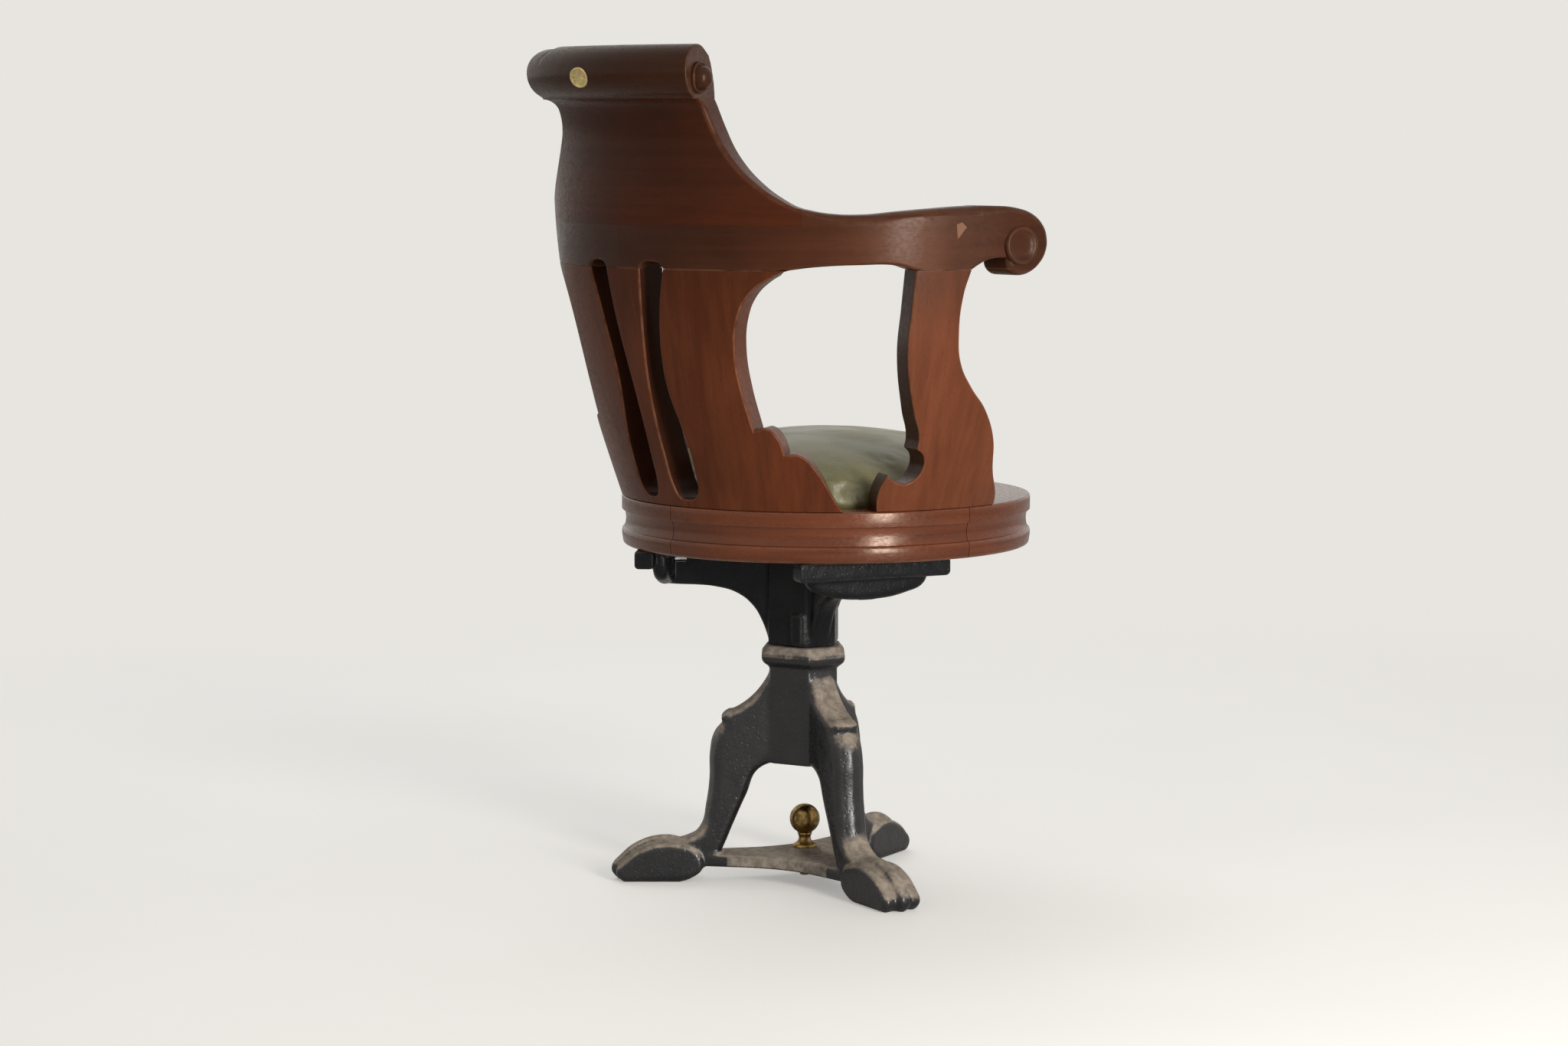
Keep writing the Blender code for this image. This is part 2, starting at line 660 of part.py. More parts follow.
def seat_ring():
    """Four quarters of mahogany, joined end to end by loose tongues."""
    half_gap = math.degrees(GAP / 2 / RING_BORE)
    quarters = {}
    names = {0: "rear_right", 90: "front_right", 180: "front_left", 270: "rear_left"}
    for start, name in names.items():
        ends = (start + half_gap, start + 90 - half_gap)
        quarters[start] = arc_sweep(f"ring_{name}", ring_profile(), *ends, MAHOGANY)
    height = (RING_BOTTOM + LEDGE) / 2
    for start, name in ((0, "rear"), (90, "right"), (180, "front"), (270, "left")):
        turn = math.radians(start)
        place = around_tub(turn, TONGUE_RADIUS, height)
        tongue = (TONGUE_LENGTH, TONGUE_WIDTH, TONGUE_THICKNESS)
        slot = [side + 2 * GAP for side in tongue]
        spin = Matrix.Translation(place) @ Matrix.Rotation(turn, 4, "Z") @ Matrix.Translation(-place)
        solid = box(tongue, place)
        solid.transform(spin)
        piece(f"ring_tongue_{name}", solid, BEECH, SEAT_AXIS)
        cutter = box(slot, place)
        cutter.transform(spin)
        cutter = helper(f"tongue_slot_{name}", cutter)
        boolean(quarters[start], cutter, "DIFFERENCE")
        boolean(quarters[(start - 90) % 360], cutter, "DIFFERENCE")
    return quarters


def seat():
    """The round board that drops into the ring, and the domed leather seat on it."""
    board_top = LEDGE + GAP + SEAT_BOARD
    board = cylinder(SEAT_RADIUS, LEDGE + GAP, board_top, ROUND_STEPS * 2, (0, TUB_Y))
    piece("seat_board", board, BEECH, SEAT_AXIS)
    bottom = board_top + GAP
    rim = SEAT_RADIUS - CUSHION_INSET
    crown = RING_TOP + CUSHION_CROWN
    rise = crown - bottom
    profile = [(0.0, crown)]
    widest = rim + CUSHION_BULGE
    dome = [(0.27, 0.985), (0.515, 0.915), (0.735, 0.79), (0.887, 0.625)]
    dome += [(0.972, 0.45), (1.0, 0.305), (0.989, 0.185)]
    profile += [(widest * out, bottom + rise * up) for out, up in dome]
    tuck = [(1.004, 0.105), (1.0, 0.055), (0.965, 0.0)]
    profile += [(rim * out, bottom + rise * up) for out, up in tuck]
    profile.append((0.0, bottom))
    cushion = turned("seat_cushion", profile, LEATHER, SEAT_AXIS, steps=ROUND_STEPS + SMALL_STEPS)
    cushion.location.y = TUB_Y


def to_side(outline, side):
    """An outline as it is on the chair's right, or turned over for the left."""
    return [(turn * side, height, corner) for turn, height, corner in outline]


def panel_outline():
    """A side panel of the back, from the slot forward to its scalloped front edge."""
    shape = [
        (SLOT_JOINT_TURN, 0.0, True),
        (SLOT_JOINT_TURN, SLOT_END / UPRIGHT_HEIGHT, True),
        (9.8, 0.040, False),
        (11.5, 0.075, False),
        (11.8, 0.14, False),
        (11.3, 0.27, False),
        (10.1, 0.36, False),
        (8.4, 0.50, False),
        (8.2, 0.62, False),
        (8.9, 0.75, False),
        (10.5, 0.87, False),
        (SLOT_OUTER_TURN, 1.0, True),
        (WINDOW_REAR_TURN, 1.0, True),
        (34.4, 0.95, False),
        (30.9, 0.89, False),
        (28.6, 0.807, False),
        (27.4, 0.678, False),
        (28.0, 0.516, False),
        (30.1, 0.339, True),
        (33.1, 0.352, False),
        (36.2, 0.300, False),
        (37.2, 0.243, True),
        (41.0, 0.240, False),
        (45.6, 0.163, False),
        (49.4, 0.060, False),
        (52.0, 0.0, True),
    ]
    return [(turn, UPRIGHT_BOTTOM + up * UPRIGHT_HEIGHT, corner) for turn, up, corner in shape]


def post_outline():
    """An arm post, with a notched and cusped rear edge and a long ogee in front."""
    shape = [
        (61.0, 0.0, True),
        (60.8, 0.065, False),
        (61.8, 0.117, False),
        (63.1, 0.155, True),
        (65.2, 0.128, False),
        (68.6, 0.118, False),
        (72.0, 0.165, False),
        (72.2, 0.225, False),
        (70.0, 0.262, True),
        (70.2, 0.305, False),
        (67.9, 0.421, False),
        (65.2, 0.647, False),
        (65.4, 0.85, False),
        (WINDOW_FRONT_TURN, 1.0, True),
        (POST_FRONT_TURN, 1.0, True),
        (76.9, 0.90, False),
        (76.8, 0.74, False),
        (78.3, 0.614, False),
        (81.9, 0.516, False),
        (87.0, 0.421, False),
        (92.0, 0.290, False),
        (95.2, 0.150, False),
        (99.8, 0.034, False),
        (100.4, 0.0, True),
    ]
    return [(turn, UPRIGHT_BOTTOM + up * UPRIGHT_HEIGHT, corner) for turn, up, corner in shape]


def splat_outline():
    """The middle splat, between the two slots."""
    joint = SLOT_JOINT_TURN - math.degrees(GAP / (RING_RADIUS - BOARD))
    half = [
        (joint, 0.0, True),
        (joint, SLOT_END / UPRIGHT_HEIGHT, True),
        (4.8, 0.040, False),
        (3.4, 0.085, False),
        (2.8, 0.20, False),
        (2.6, 0.36, False),
        (3.0, 0.54, False),
        (3.7, 0.72, False),
        (4.2, 0.87, False),
        (SLOT_INNER_TURN, 1.0, True),
    ]
    both = half + [(-turn, up, corner) for turn, up, corner in reversed(half)]
    return [(turn, UPRIGHT_BOTTOM + up * UPRIGHT_HEIGHT, corner) for turn, up, corner in both]


def arm_outline():
    """An arm bow from the middle of the back to its scroll, notched below for the slot's end."""
    middle = math.degrees(GAP / 2 / (RING_RADIUS - BOARD))
    comb_gap = math.degrees(GAP / (RING_RADIUS - BOARD))
    back = ARM_BACK_HEIGHT / ARM_HEIGHT
    shape = [
        (middle, 0.0, True),
        (SLOT_INNER_TURN, 0.0, True),
        (5.6, 0.11, False),
        (8.6, 0.16, False),
        (11.6, 0.11, False),
        (SLOT_OUTER_TURN, 0.0, True),
        (WINDOW_REAR_TURN, 0.0, True),
        (45.0, 0.055, False),
        (54.0, 0.09, False),
        (62.0, 0.08, False),
        (WINDOW_FRONT_TURN, 0.0, True),
        (POST_FRONT_TURN, 0.0, True),
        (80.8, 0.14, False),
        (83.6, 0.10, True),
        (86.4, -0.08, False),
        (89.0, -0.11, False),
        (92.0, 0.03, False),
        (93.2, 0.28, False),
        (92.4, 0.55, False),
        (89.6, 0.78, False),
        (85.4, 0.93, False),
        (79.5, 0.985, False),
        (71.5, 0.965, False),
        (63.0, 0.943, False),
        (54.8, 0.895, False),
        (47.8, 0.915, False),
        (COMB_END_TURN + comb_gap, 0.985, True),
        (COMB_END_TURN + comb_gap, back, True),
        (middle, back, True),
    ]
    return [(turn, ARM_BOTTOM + up * ARM_HEIGHT, corner) for turn, up, corner in shape]


def comb_outline():
    """The comb over the middle of the arm bow, whose ends sweep down into the arms."""
    step = (ARM_HEIGHT * 0.985 - ARM_BACK_HEIGHT) / COMB_HEIGHT
    half = [
        (COMB_END_TURN, 0.0, True),
        (COMB_END_TURN, step, True),
        (38.8, 0.215, False),
        (34.0, 0.315, False),
        (28.2, 0.535, False),
        (24.5, 0.785, False),
        (22.9, 1.0, True),
    ]
    both = half + [(-turn, up, corner) for turn, up, corner in reversed(half)]
    return [(turn, COMB_BOTTOM + up * COMB_HEIGHT, corner) for turn, up, corner in both]


def crest_centre():
    """Radius and height of the middle of the crest's roll."""
    return tub_radius(COMB_TOP, 0.0) + CREST_OUT, CREST_BOTTOM + CREST_RADIUS


def crest_profile():
    """The crest rail's section: a thick roll that leans back over the comb."""
    outer = tub_radius(COMB_TOP, 0.0)
    radius, height = crest_centre()
    knots = [(outer - BOARD, CREST_BOTTOM, True), (outer - BOARD, CREST_BOTTOM + CREST_RADIUS * 0.7, False)]
    for angle in (125, 90, 55, 20, -15, -50):
        turn = math.radians(angle)
        knots.append((radius + CREST_RADIUS * math.cos(turn), height + CREST_RADIUS * math.sin(turn), False))
    knots.append((radius + CREST_RADIUS * 0.2, CREST_BOTTOM, True))
    return knots


def crest():
    """The rolled crest rail, with turned bosses on its ends and a brass plate in its back."""
    rail = arc_sweep("crest_rail", crest_profile(), -CREST_TURN, CREST_TURN, DARK_MAHOGANY)
    radius, height = crest_centre()
    for name, side in (("right", 1), ("left", -1)):
        turn = math.radians(CREST_TURN) * side
        boss_profile = [
            (0.0, BOSS_DEPTH + BUTTON_RADIUS * 0.8),
            (BUTTON_RADIUS * 0.7, BOSS_DEPTH + BUTTON_RADIUS * 0.55),
            (BUTTON_RADIUS, BOSS_DEPTH),
            (BUTTON_RADIUS * 1.15, BOSS_DEPTH * 0.55),
            (BOSS_RADIUS * 0.85, BOSS_DEPTH * 0.75),
            (BOSS_RADIUS, BOSS_DEPTH * 0.4),
            (BOSS_RADIUS, GAP),
            (0.0, GAP),
        ]
        boss = turned(f"crest_boss_{name}", boss_profile, DARK_MAHOGANY, SEAT_AXIS, steps=SMALL_STEPS)
        boss.location = around_tub(turn, radius, height - BOSS_DROP)
        boss.rotation_euler = (0, -math.pi / 2 * side, turn)
    turn = math.radians(PLATE_TURN)
    tilt = math.radians(PLATE_TILT_TURN)
    seat_radius = CREST_RADIUS - PLATE_THICKNESS
    face = around_tub(turn, radius + seat_radius * math.cos(tilt), height - seat_radius * math.sin(tilt))
    lie_back = Matrix.Rotation(turn, 4, "Z") @ Matrix.Rotation(-math.pi / 2 - tilt, 4, "X")
    at_back = Matrix.Translation(face) @ lie_back
    recess = helper("plate_recess", oval(PLATE_LENGTH + GAP * 2, PLATE_WIDTH + GAP * 2, -GAP, PLATE_WIDTH / 2))
    recess.matrix_local = at_back
    boolean(rail, recess, "DIFFERENCE")
    plate = piece("crest_plate", oval(PLATE_LENGTH, PLATE_WIDTH, 0.0, PLATE_THICKNESS), BRASS, SEAT_AXIS)
    plate.matrix_local = at_back
    for side in (-1, 1):
        place = (side * PLATE_HOLE_SPREAD / 2, 0)
        drill = cylinder(PLATE_HOLE, PLATE_THICKNESS * 0.4, PLATE_THICKNESS * 2, DOWEL_STEPS, place)
        hole = helper(f"plate_hole_{side}", drill)
        hole.matrix_local = at_back
        boolean(plate, hole, "DIFFERENCE")
    return rail


def scroll_frame(side):
    """Place of the middle of an arm's scroll, with +Z along its axis, out of the chair."""
    turn = math.radians(SCROLL_TURN)
    height = ARM_BOTTOM + SCROLL_LIFT
    nudge = 0.01
    ahead = tub_point(turn + nudge, BOARD / 2, height) - tub_point(turn - nudge, BOARD / 2, height)
    outward = Vector((ahead.y, -ahead.x, 0)).normalized()
    if outward.x > 0:
        outward = -outward
    place = tub_point(turn, BOARD / 2, height)
    outward.x *= side
    place.x *= side
    return Matrix.Translation(place) @ outward.to_track_quat("Z", "Y").to_matrix().to_4x4()


def arms():
    """Two arm bows that meet behind the splat, each with a scroll and a turned roundel."""
    made = {}
    for name, side in (("right", 1), ("left", -1)):
        arm = bent_board(f"arm_{name}", to_side(arm_outline(), side))
        frame = scroll_frame(side)
        roll = cylinder(SCROLL_RADIUS, -SCROLL_WIDTH / 2, SCROLL_WIDTH / 2, ROUND_STEPS)
        roll.transform(frame)
        boolean(arm, helper(f"scroll_{name}", roll), "UNION")
        profile = [
            (0.0, ROUNDEL_DEPTH * 0.35),
            (ROUNDEL_RADIUS * 0.6, ROUNDEL_DEPTH * 0.45),
            (ROUNDEL_RADIUS * 0.72, ROUNDEL_DEPTH),
            (ROUNDEL_RADIUS * 0.92, ROUNDEL_DEPTH * 0.9),
            (ROUNDEL_RADIUS, ROUNDEL_DEPTH * 0.5),
            (ROUNDEL_RADIUS, GAP),
            (0.0, GAP),
        ]
        roundel = turned(f"scroll_roundel_{name}", profile, MAHOGANY, SEAT_AXIS, steps=ROUND_STEPS)
        roundel.matrix_local = frame @ Matrix.Translation((0, 0, SCROLL_WIDTH / 2))
        made[side] = arm
    return made


def dowel(name, turn, joint, hosts, rise=DOWEL_LENGTH / 2):
    """An upright dowel across a level joint, at mid-thickness of the boards."""
    place = tub_point(math.radians(turn), BOARD / 2, joint)
    foot = joint - DOWEL_LENGTH / 2
    piece(name, cylinder(DOWEL_RADIUS, foot, joint + rise, DOWEL_STEPS, place.xy), BEECH, SEAT_AXIS)
    hole = cylinder(DOWEL_RADIUS + GAP, foot - GAP, joint + rise + GAP, DOWEL_STEPS, place.xy)
    cutter = helper(f"{name}_hole", hole)
    for host in hosts:
        boolean(host, cutter, "DIFFERENCE")


def coach_screws(made, quarters):
    """Two screws through each pad of the spider into the seat ring."""
    for number in range(LEG_COUNT):
        turn = math.radians(SPIDER_TURN + number * 360 / LEG_COUNT)
        for side in (-1, 1):
            out = COACH_OUT
            across = side * COACH_SPREAD / 2
            x = out * math.cos(turn) - across * math.sin(turn)
            y = out * math.sin(turn) + across * math.cos(turn)
            under = PAD_TOP - FLANGE_THICKNESS - GAP * 2
            tip = RING_BOTTOM + COACH_BITE
            profile = [
                (0.0, tip),
                (COACH_RADIUS * 0.5, tip - COACH_RADIUS),
                (COACH_RADIUS, tip - COACH_RADIUS * 2.5),
                (COACH_RADIUS, under),
                (COACH_HEAD, under),
                (COACH_HEAD, under - COACH_HEAD_HEIGHT * 0.6),
                (COACH_HEAD * 0.6, under - COACH_HEAD_HEIGHT),
                (0.0, under - COACH_HEAD_HEIGHT),
            ]
            label = f"coach_screw_{number * 2 + (side + 3) // 2}"
            screw = turned(label, profile, STEEL, SEAT_AXIS, steps=DOWEL_STEPS)
            screw.location = (x, y, 0)
            room = cylinder(COACH_RADIUS + GAP * 2, under, tip + GAP, DOWEL_STEPS * 2, (x, y))
            cutter = helper(f"{label}_hole", room)
            boolean(made, cutter, "DIFFERENCE")
            for quarter in quarters.values():
                boolean(quarter, cutter, "DIFFERENCE")


pedestal()
deck_screw()
bush_outer, recess_top = swivel()
seat_spider = spider(bush_outer, recess_top)
ring_quarters = seat_ring()
coach_screws(seat_spider, ring_quarters)
seat()
splat = bent_board("centre_splat", splat_outline())
arm_bows = arms()
comb = bent_board("back_comb", comb_outline(), DARK_MAHOGANY)
crest_rail = crest()
rear_quarters = {1: ring_quarters[0], -1: ring_quarters[270]}
for word, hand in (("right", 1), ("left", -1)):
    panel = bent_board(f"side_panel_{word}", to_side(panel_outline(), hand))
    post = bent_board(f"arm_post_{word}", to_side(post_outline(), hand))
    dowel(f"panel_top_dowel_{word}", PANEL_TOP_TURN * hand, UPRIGHT_TOP, (panel, arm_bows[hand]))
    dowel(f"panel_foot_dowel_{word}", PANEL_FOOT_TURN * hand, RING_TOP, (panel, rear_quarters[hand]))
    dowel(f"post_top_dowel_{word}", POST_TOP_TURN * hand, UPRIGHT_TOP, (post, arm_bows[hand]))
    dowel(f"post_foot_dowel_{word}", POST_FOOT_TURN * hand, RING_TOP, (post, rear_quarters[hand]))
    stub = SLOT_END * 0.8
    dowel(f"splat_foot_dowel_{word}", SPLAT_FOOT_TURN * hand, RING_TOP, (splat, rear_quarters[hand]), stub)
    dowel(f"comb_dowel_{word}", COMB_DOWEL_TURN * hand, ARM_BOTTOM + ARM_BACK_HEIGHT, (arm_bows[hand], comb))
    dowel(f"crest_dowel_{word}", CREST_DOWEL_TURN * hand, COMB_TOP, (comb, crest_rail))
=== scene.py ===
"""A ship's captain's chair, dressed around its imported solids: mahogany tub, leather seat, iron tripod.

Metres, +Z up. The swivel axis is Z, the chair faces -Y, and turns round the tub are counted in
degrees from the middle of the back, to the chair's right.
"""
import math

import bmesh
import bpy
from mathutils import Matrix, Vector, noise


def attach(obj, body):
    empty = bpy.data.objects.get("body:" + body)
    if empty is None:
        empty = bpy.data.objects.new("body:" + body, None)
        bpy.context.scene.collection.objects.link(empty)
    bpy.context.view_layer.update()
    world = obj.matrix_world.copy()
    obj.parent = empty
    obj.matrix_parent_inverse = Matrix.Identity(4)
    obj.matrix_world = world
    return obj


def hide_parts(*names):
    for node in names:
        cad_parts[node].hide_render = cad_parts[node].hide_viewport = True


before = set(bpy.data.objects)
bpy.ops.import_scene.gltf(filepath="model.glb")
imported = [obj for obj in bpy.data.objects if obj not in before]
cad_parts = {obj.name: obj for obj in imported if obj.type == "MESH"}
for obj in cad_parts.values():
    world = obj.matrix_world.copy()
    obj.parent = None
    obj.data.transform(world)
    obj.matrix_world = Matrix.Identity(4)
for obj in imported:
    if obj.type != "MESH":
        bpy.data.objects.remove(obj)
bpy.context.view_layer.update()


# ---------------------------------------------------------------- pedestal
# One black-painted iron casting: a three-sided column with a thick collar, three legs on three-toed
# paws, and a web plate low between them. It was cast in sand, so its edges are soft and its skin is
# pitted, and years of dust lie wherever it faces up.
LEG_TURNS = (48.0, 168.0, 288.0)
LEG_REACH = 0.206
LEG_TOP = 0.230
LEG_WIDTH = 0.035
ARCH_TOP = 0.127
COLLAR_TOP = 0.253
COLLAR_HEIGHT = 0.021
COLUMN_FACE = 0.0373
WEB_REACH = 0.113
WEB_END = 0.0316
WEB_WAIST = 0.046
WEB_THICK = 0.014
WEB_MIDDLE = 0.023
DUSTY_RIM = (0.0175, 0.036)
DUSTY_REACH = 0.085
SCREW_HOLE = 0.0058
HOLE_SIDES = 32
CAST_VOXEL = 0.0019
RUB_FAINT = 13.0
RUB_FULL = 24.0
RUB_JOINT = 60.0
BLACK_PAINT = (0.0070, 0.0070, 0.0085)
OLD_DUST = (0.400, 0.336, 0.268)


def round_outline(radius, count=8):
    turns = [number / count * math.tau for number in range(count)]
    return [(radius * math.cos(turn), radius * math.sin(turn)) for turn in turns]


def off_radius(turn, out, across=0.0):
    """A point at a distance along the radius at a turn, and at another across it."""
    facing = math.radians(turn)
    x = out * math.cos(facing) - across * math.sin(facing)
    y = out * math.sin(facing) + across * math.cos(facing)
    return x, y


def slab(outline, depth, soft=0.0, hole=0.0, steps=8):
    """A closed flat outline as a slab, its edges rounded over by soft.

    A knot is (across, up) where the outline runs smoothly, and (across, up, True) at a corner.
    """
    curve = bpy.data.curves.new("outline", "CURVE")
    curve.dimensions = "2D"
    curve.fill_mode = "BOTH"
    curve.extrude = depth / 2 - soft
    curve.bevel_depth = soft
    curve.bevel_resolution = 2
    curve.offset = -soft
    curve.resolution_u = steps
    spline = curve.splines.new("BEZIER")
    spline.use_cyclic_u = True
    spline.bezier_points.add(len(outline) - 1)
    for knot, (across, up, *corner) in zip(spline.bezier_points, outline):
        knot.co = (across, up, 0)
        knot.handle_left_type = "VECTOR" if corner else "AUTO"
        knot.handle_right_type = knot.handle_left_type
    if hole:
        rim = curve.splines.new("POLY")
        rim.use_cyclic_u = True
        rim.points.add(HOLE_SIDES - 1)
        for point, (x, y) in zip(rim.points, round_outline(hole, HOLE_SIDES)):
            point.co = (x, y, 0, 1)
    guide = bpy.data.objects.new("outline", curve)
    bpy.context.scene.collection.objects.link(guide)
    graph = bpy.context.evaluated_depsgraph_get()
    mesh = bpy.data.meshes.new_from_object(guide.evaluated_get(graph))
    bpy.data.objects.remove(guide)
    solid = bmesh.new()
    solid.from_mesh(mesh)
    bpy.data.meshes.remove(mesh)
    bmesh.ops.remove_doubles(solid, verts=solid.verts, dist=0.00001)
    bmesh.ops.recalc_face_normals(solid, faces=solid.faces)
    return solid


def moved(solid, *steps):
    for step in steps:
        solid.transform(step)
    return solid


def spun(turn):
    return Matrix.Rotation(math.radians(turn), 4, "Z")


def upright(turn):
    """Stands an outline of (radius, height) on a radius of the swivel axis."""
    return spun(turn) @ Matrix.Rotation(math.pi / 2, 4, "X")


def lifted(z, x=0.0, y=0.0):
    return Matrix.Translation((x, y, z))


def three_sided(bottom, top, grow, turns, soft, hole=0.0):
    """The column's section: a triangle whose cut corners carry the legs."""
    corners = []
    for turn in turns:
        for side in (-1, 1):
            across = side * (LEG_WIDTH / 2 + grow / math.sqrt(3))
            corners.append((*off_radius(turn, COLUMN_FACE + grow, across), True))
    return moved(slab(corners, top - bottom, soft, hole), lifted((bottom + top) / 2))


def new_piece(name, mesh):
    made = bpy.data.objects.new(name, mesh)
    bpy.context.scene.collection.objects.link(made)
    return made


def settled(piece):
    """Works the piece's modifiers into its mesh."""
    graph = bpy.context.evaluated_depsgraph_get()
    mesh = bpy.data.meshes.new_from_object(piece.evaluated_get(graph))
    old = piece.data
    piece.modifiers.clear()
    piece.data = mesh
    if isinstance(old, bpy.types.Mesh):
        bpy.data.meshes.remove(old)
    mesh.name = piece.name
    return piece


def opened(piece):
    solid = bmesh.new()
    solid.from_mesh(piece.data)
    return solid


def closed(solid, piece):
    solid.to_mesh(piece.data)
    solid.free()


def cleaned(solid):
    """Closes up slivers, and turns the faces outward."""
    bmesh.ops.remove_doubles(solid, verts=solid.verts, dist=0.00003)
    bmesh.ops.dissolve_degenerate(solid, edges=solid.edges, dist=0.00003)
    bmesh.ops.recalc_face_normals(solid, faces=solid.faces)
    if solid.calc_volume(signed=True) < 0:
        bmesh.ops.reverse_faces(solid, faces=solid.faces)


def joined(name, solids):
    """Loose bmeshes as the shells of one mesh object."""
    whole = bmesh.new()
    for solid in solids:
        shell = bpy.data.meshes.new("shell")
        solid.to_mesh(shell)
        solid.free()
        whole.from_mesh(shell)
        bpy.data.meshes.remove(shell)
    mesh = bpy.data.meshes.new(name)
    whole.to_mesh(mesh)
    whole.free()
    return new_piece(name, mesh)


def cast(name, solids, voxel, passes):
    """Runs the shells together as molten iron would, and softens what comes out of the mould."""
    made = joined(name, solids)
    run = made.modifiers.new("run together", "REMESH")
    run.mode = "VOXEL"
    run.voxel_size = voxel
    soften = made.modifiers.new("soften", "SMOOTH")
    soften.factor = 0.5
    soften.iterations = passes
    settled(made)
    made.data.shade_smooth()
    return made


def mark(piece, name, values):
    layer = piece.data.attributes.new(name, "FLOAT", "POINT")
    layer.data.foreach_set("value", values)


def mark_dust(piece, ledge=None):
    """How far each point of the casting faces up, or sits where ledge says, so that dust can lie on it."""
    lies = []
    for vert in piece.data.vertices:
        share = min(max((vert.normal.z - 0.05) / 0.5, 0.0), 1.0)
        lies.append(max(share, ledge(vert.co)) if ledge else share)
    mark(piece, "lies", lies)


def mark_edges(piece):
    """How sharply each point stands out on a rounded edge, where hands and feet rub it."""
    solid = opened(piece)
    rubbed = [0.0] * len(solid.verts)
    for edge in solid.edges:
        if len(edge.link_faces) == 2:
            bend = math.degrees(edge.calc_face_angle_signed(0.0))
            if RUB_FAINT < bend < RUB_JOINT:
                for vert in edge.verts:
                    rubbed[vert.index] = max(rubbed[vert.index], min(bend / RUB_FULL, 1.0))
    solid.free()
    mark(piece, "rubbed", rubbed)


def leg_outline(drawn_in=0.0):
    """Shoulder, knee, shin and ankle of a leg, its shin drawn in, and back under the arch."""
    shape = [(0.05, 1.0, True), (0.166, 1.0, True), (0.212, 0.918), (0.301, 0.832)]
    shape += [(0.415, 0.775, True), (0.419, 0.742, True)]
    shin = ((0.467, 0.690), (0.490, 0.595), (0.492, 0.483), (0.510, 0.356), (0.538, 0.255))
    shape += [(out - drawn_in, up) for out, up in shin] + [(0.600, 0.205)]
    shape += [(0.740, 0.180, True), (0.740, 0.0087, True), (0.620, 0.022), (0.530, 0.055)]
    shape += [(0.455, 0.105), (0.415, 0.170), (0.371, 0.263), (0.301, 0.404)]
    outline = [(LEG_REACH * out, LEG_TOP * up, *corner) for out, up, *corner in shape]
    return outline + [(LEG_REACH * 0.235, ARCH_TOP * 0.95), (LEG_REACH * 0.05, ARCH_TOP * 1.02, True)]


def paw_outline(trim, sole=0.0):
    """A paw or a toe from the side, on its flat sole, drawn up into the leg behind."""
    shape = [(0.660, 0.0, True), (0.600, 0.020), (0.540, 0.075), (0.560, 0.160)]
    shape += [(0.640, 0.196), (0.720, 0.208), (0.844, 0.184), (0.948, 0.118)]
    shape += [(1.0, 0.050), (0.962, 0.0, True)]
    reach = LEG_REACH - trim
    height = LEG_TOP * (1 - trim / LEG_REACH * 5)
    return [(reach * out, height * up + sole, *corner) for out, up, *corner in shape]


def leg(turn):
    """A leg with a round shin and a lip at its knee, and a paw of three toes parted by grooves."""
    toe_pitch = 0.0152
    yield moved(slab(leg_outline(0.017), LEG_WIDTH, 0.0085), upright(turn))
    yield moved(slab(leg_outline(0.005), LEG_WIDTH * 0.72, 0.0085), upright(turn))
    yield moved(slab(leg_outline(), LEG_WIDTH * 0.46, 0.0070), upright(turn))
    lip = [(0.385, 0.796, True), (0.424, 0.771), (0.429, 0.752), (0.405, 0.742, True), (0.34, 0.77, True)]
    lip = [(LEG_REACH * out, LEG_TOP * up, *corner) for out, up, *corner in lip]
    yield moved(slab(lip, LEG_WIDTH * 0.74, 0.0008), upright(turn))
    yield moved(slab(paw_outline(0.0062, 0.0004), toe_pitch * 2.6, 0.0060), upright(turn))
    for place in (-1, 0, 1):
        toe = slab(paw_outline(0.0 if place == 0 else 0.0055), toe_pitch - 0.0014, 0.0046)
        yield moved(toe, Matrix.Translation((0, 0, place * toe_pitch)), upright(turn))


def web_plate():
    """The plate between the legs, hollow on its three edges and bored for the hand screw."""
    knots = []
    for turn in LEG_TURNS:
        for across in (-WEB_END / 2, WEB_END / 2):
            knots.append((*off_radius(turn, WEB_REACH, across), True))
        knots.append(off_radius(turn + 60, WEB_WAIST))
    return moved(slab(knots, WEB_THICK, 0.003, hole=SCREW_HOLE), lifted(WEB_MIDDLE))


def dusty_ledge(place):
    """The collar's upper half and the rim of the web plate are dusty on their sides too."""
    if COLLAR_TOP - COLLAR_HEIGHT * 0.55 < place.z < COLLAR_TOP:
        return 0.55
    if DUSTY_RIM[0] < place.z < DUSTY_RIM[1] and math.hypot(place.x, place.y) < DUSTY_REACH:
        return 0.85
    return 0.0


collar_bottom = COLLAR_TOP - COLLAR_HEIGHT
base_shells = [
    three_sided(ARCH_TOP, COLLAR_TOP - 0.001, 0.0, LEG_TURNS, 0.003),
    three_sided(collar_bottom + 0.0015, COLLAR_TOP - 0.0035, 0.0085, LEG_TURNS, 0.0068),
    three_sided(collar_bottom, COLLAR_TOP, 0.0038, LEG_TURNS, 0.0025),
    web_plate(),
    moved(slab(round_outline(0.019), 0.010, 0.002, hole=SCREW_HOLE), lifted(0.030)),
]
for turn in LEG_TURNS:
    base_shells.extend(leg(turn))
pedestal = cast("iron_pedestal", base_shells, CAST_VOXEL, 5)
mark_dust(pedestal, dusty_ledge)
mark_edges(pedestal)


def fill(node, sockets):
    """Fills a node's sockets with values or links."""
    for key, value in sockets.items():
        if isinstance(value, bpy.types.NodeSocket):
            node.id_data.links.new(value, node.inputs[key])
        else:
            node.inputs[key].default_value = value


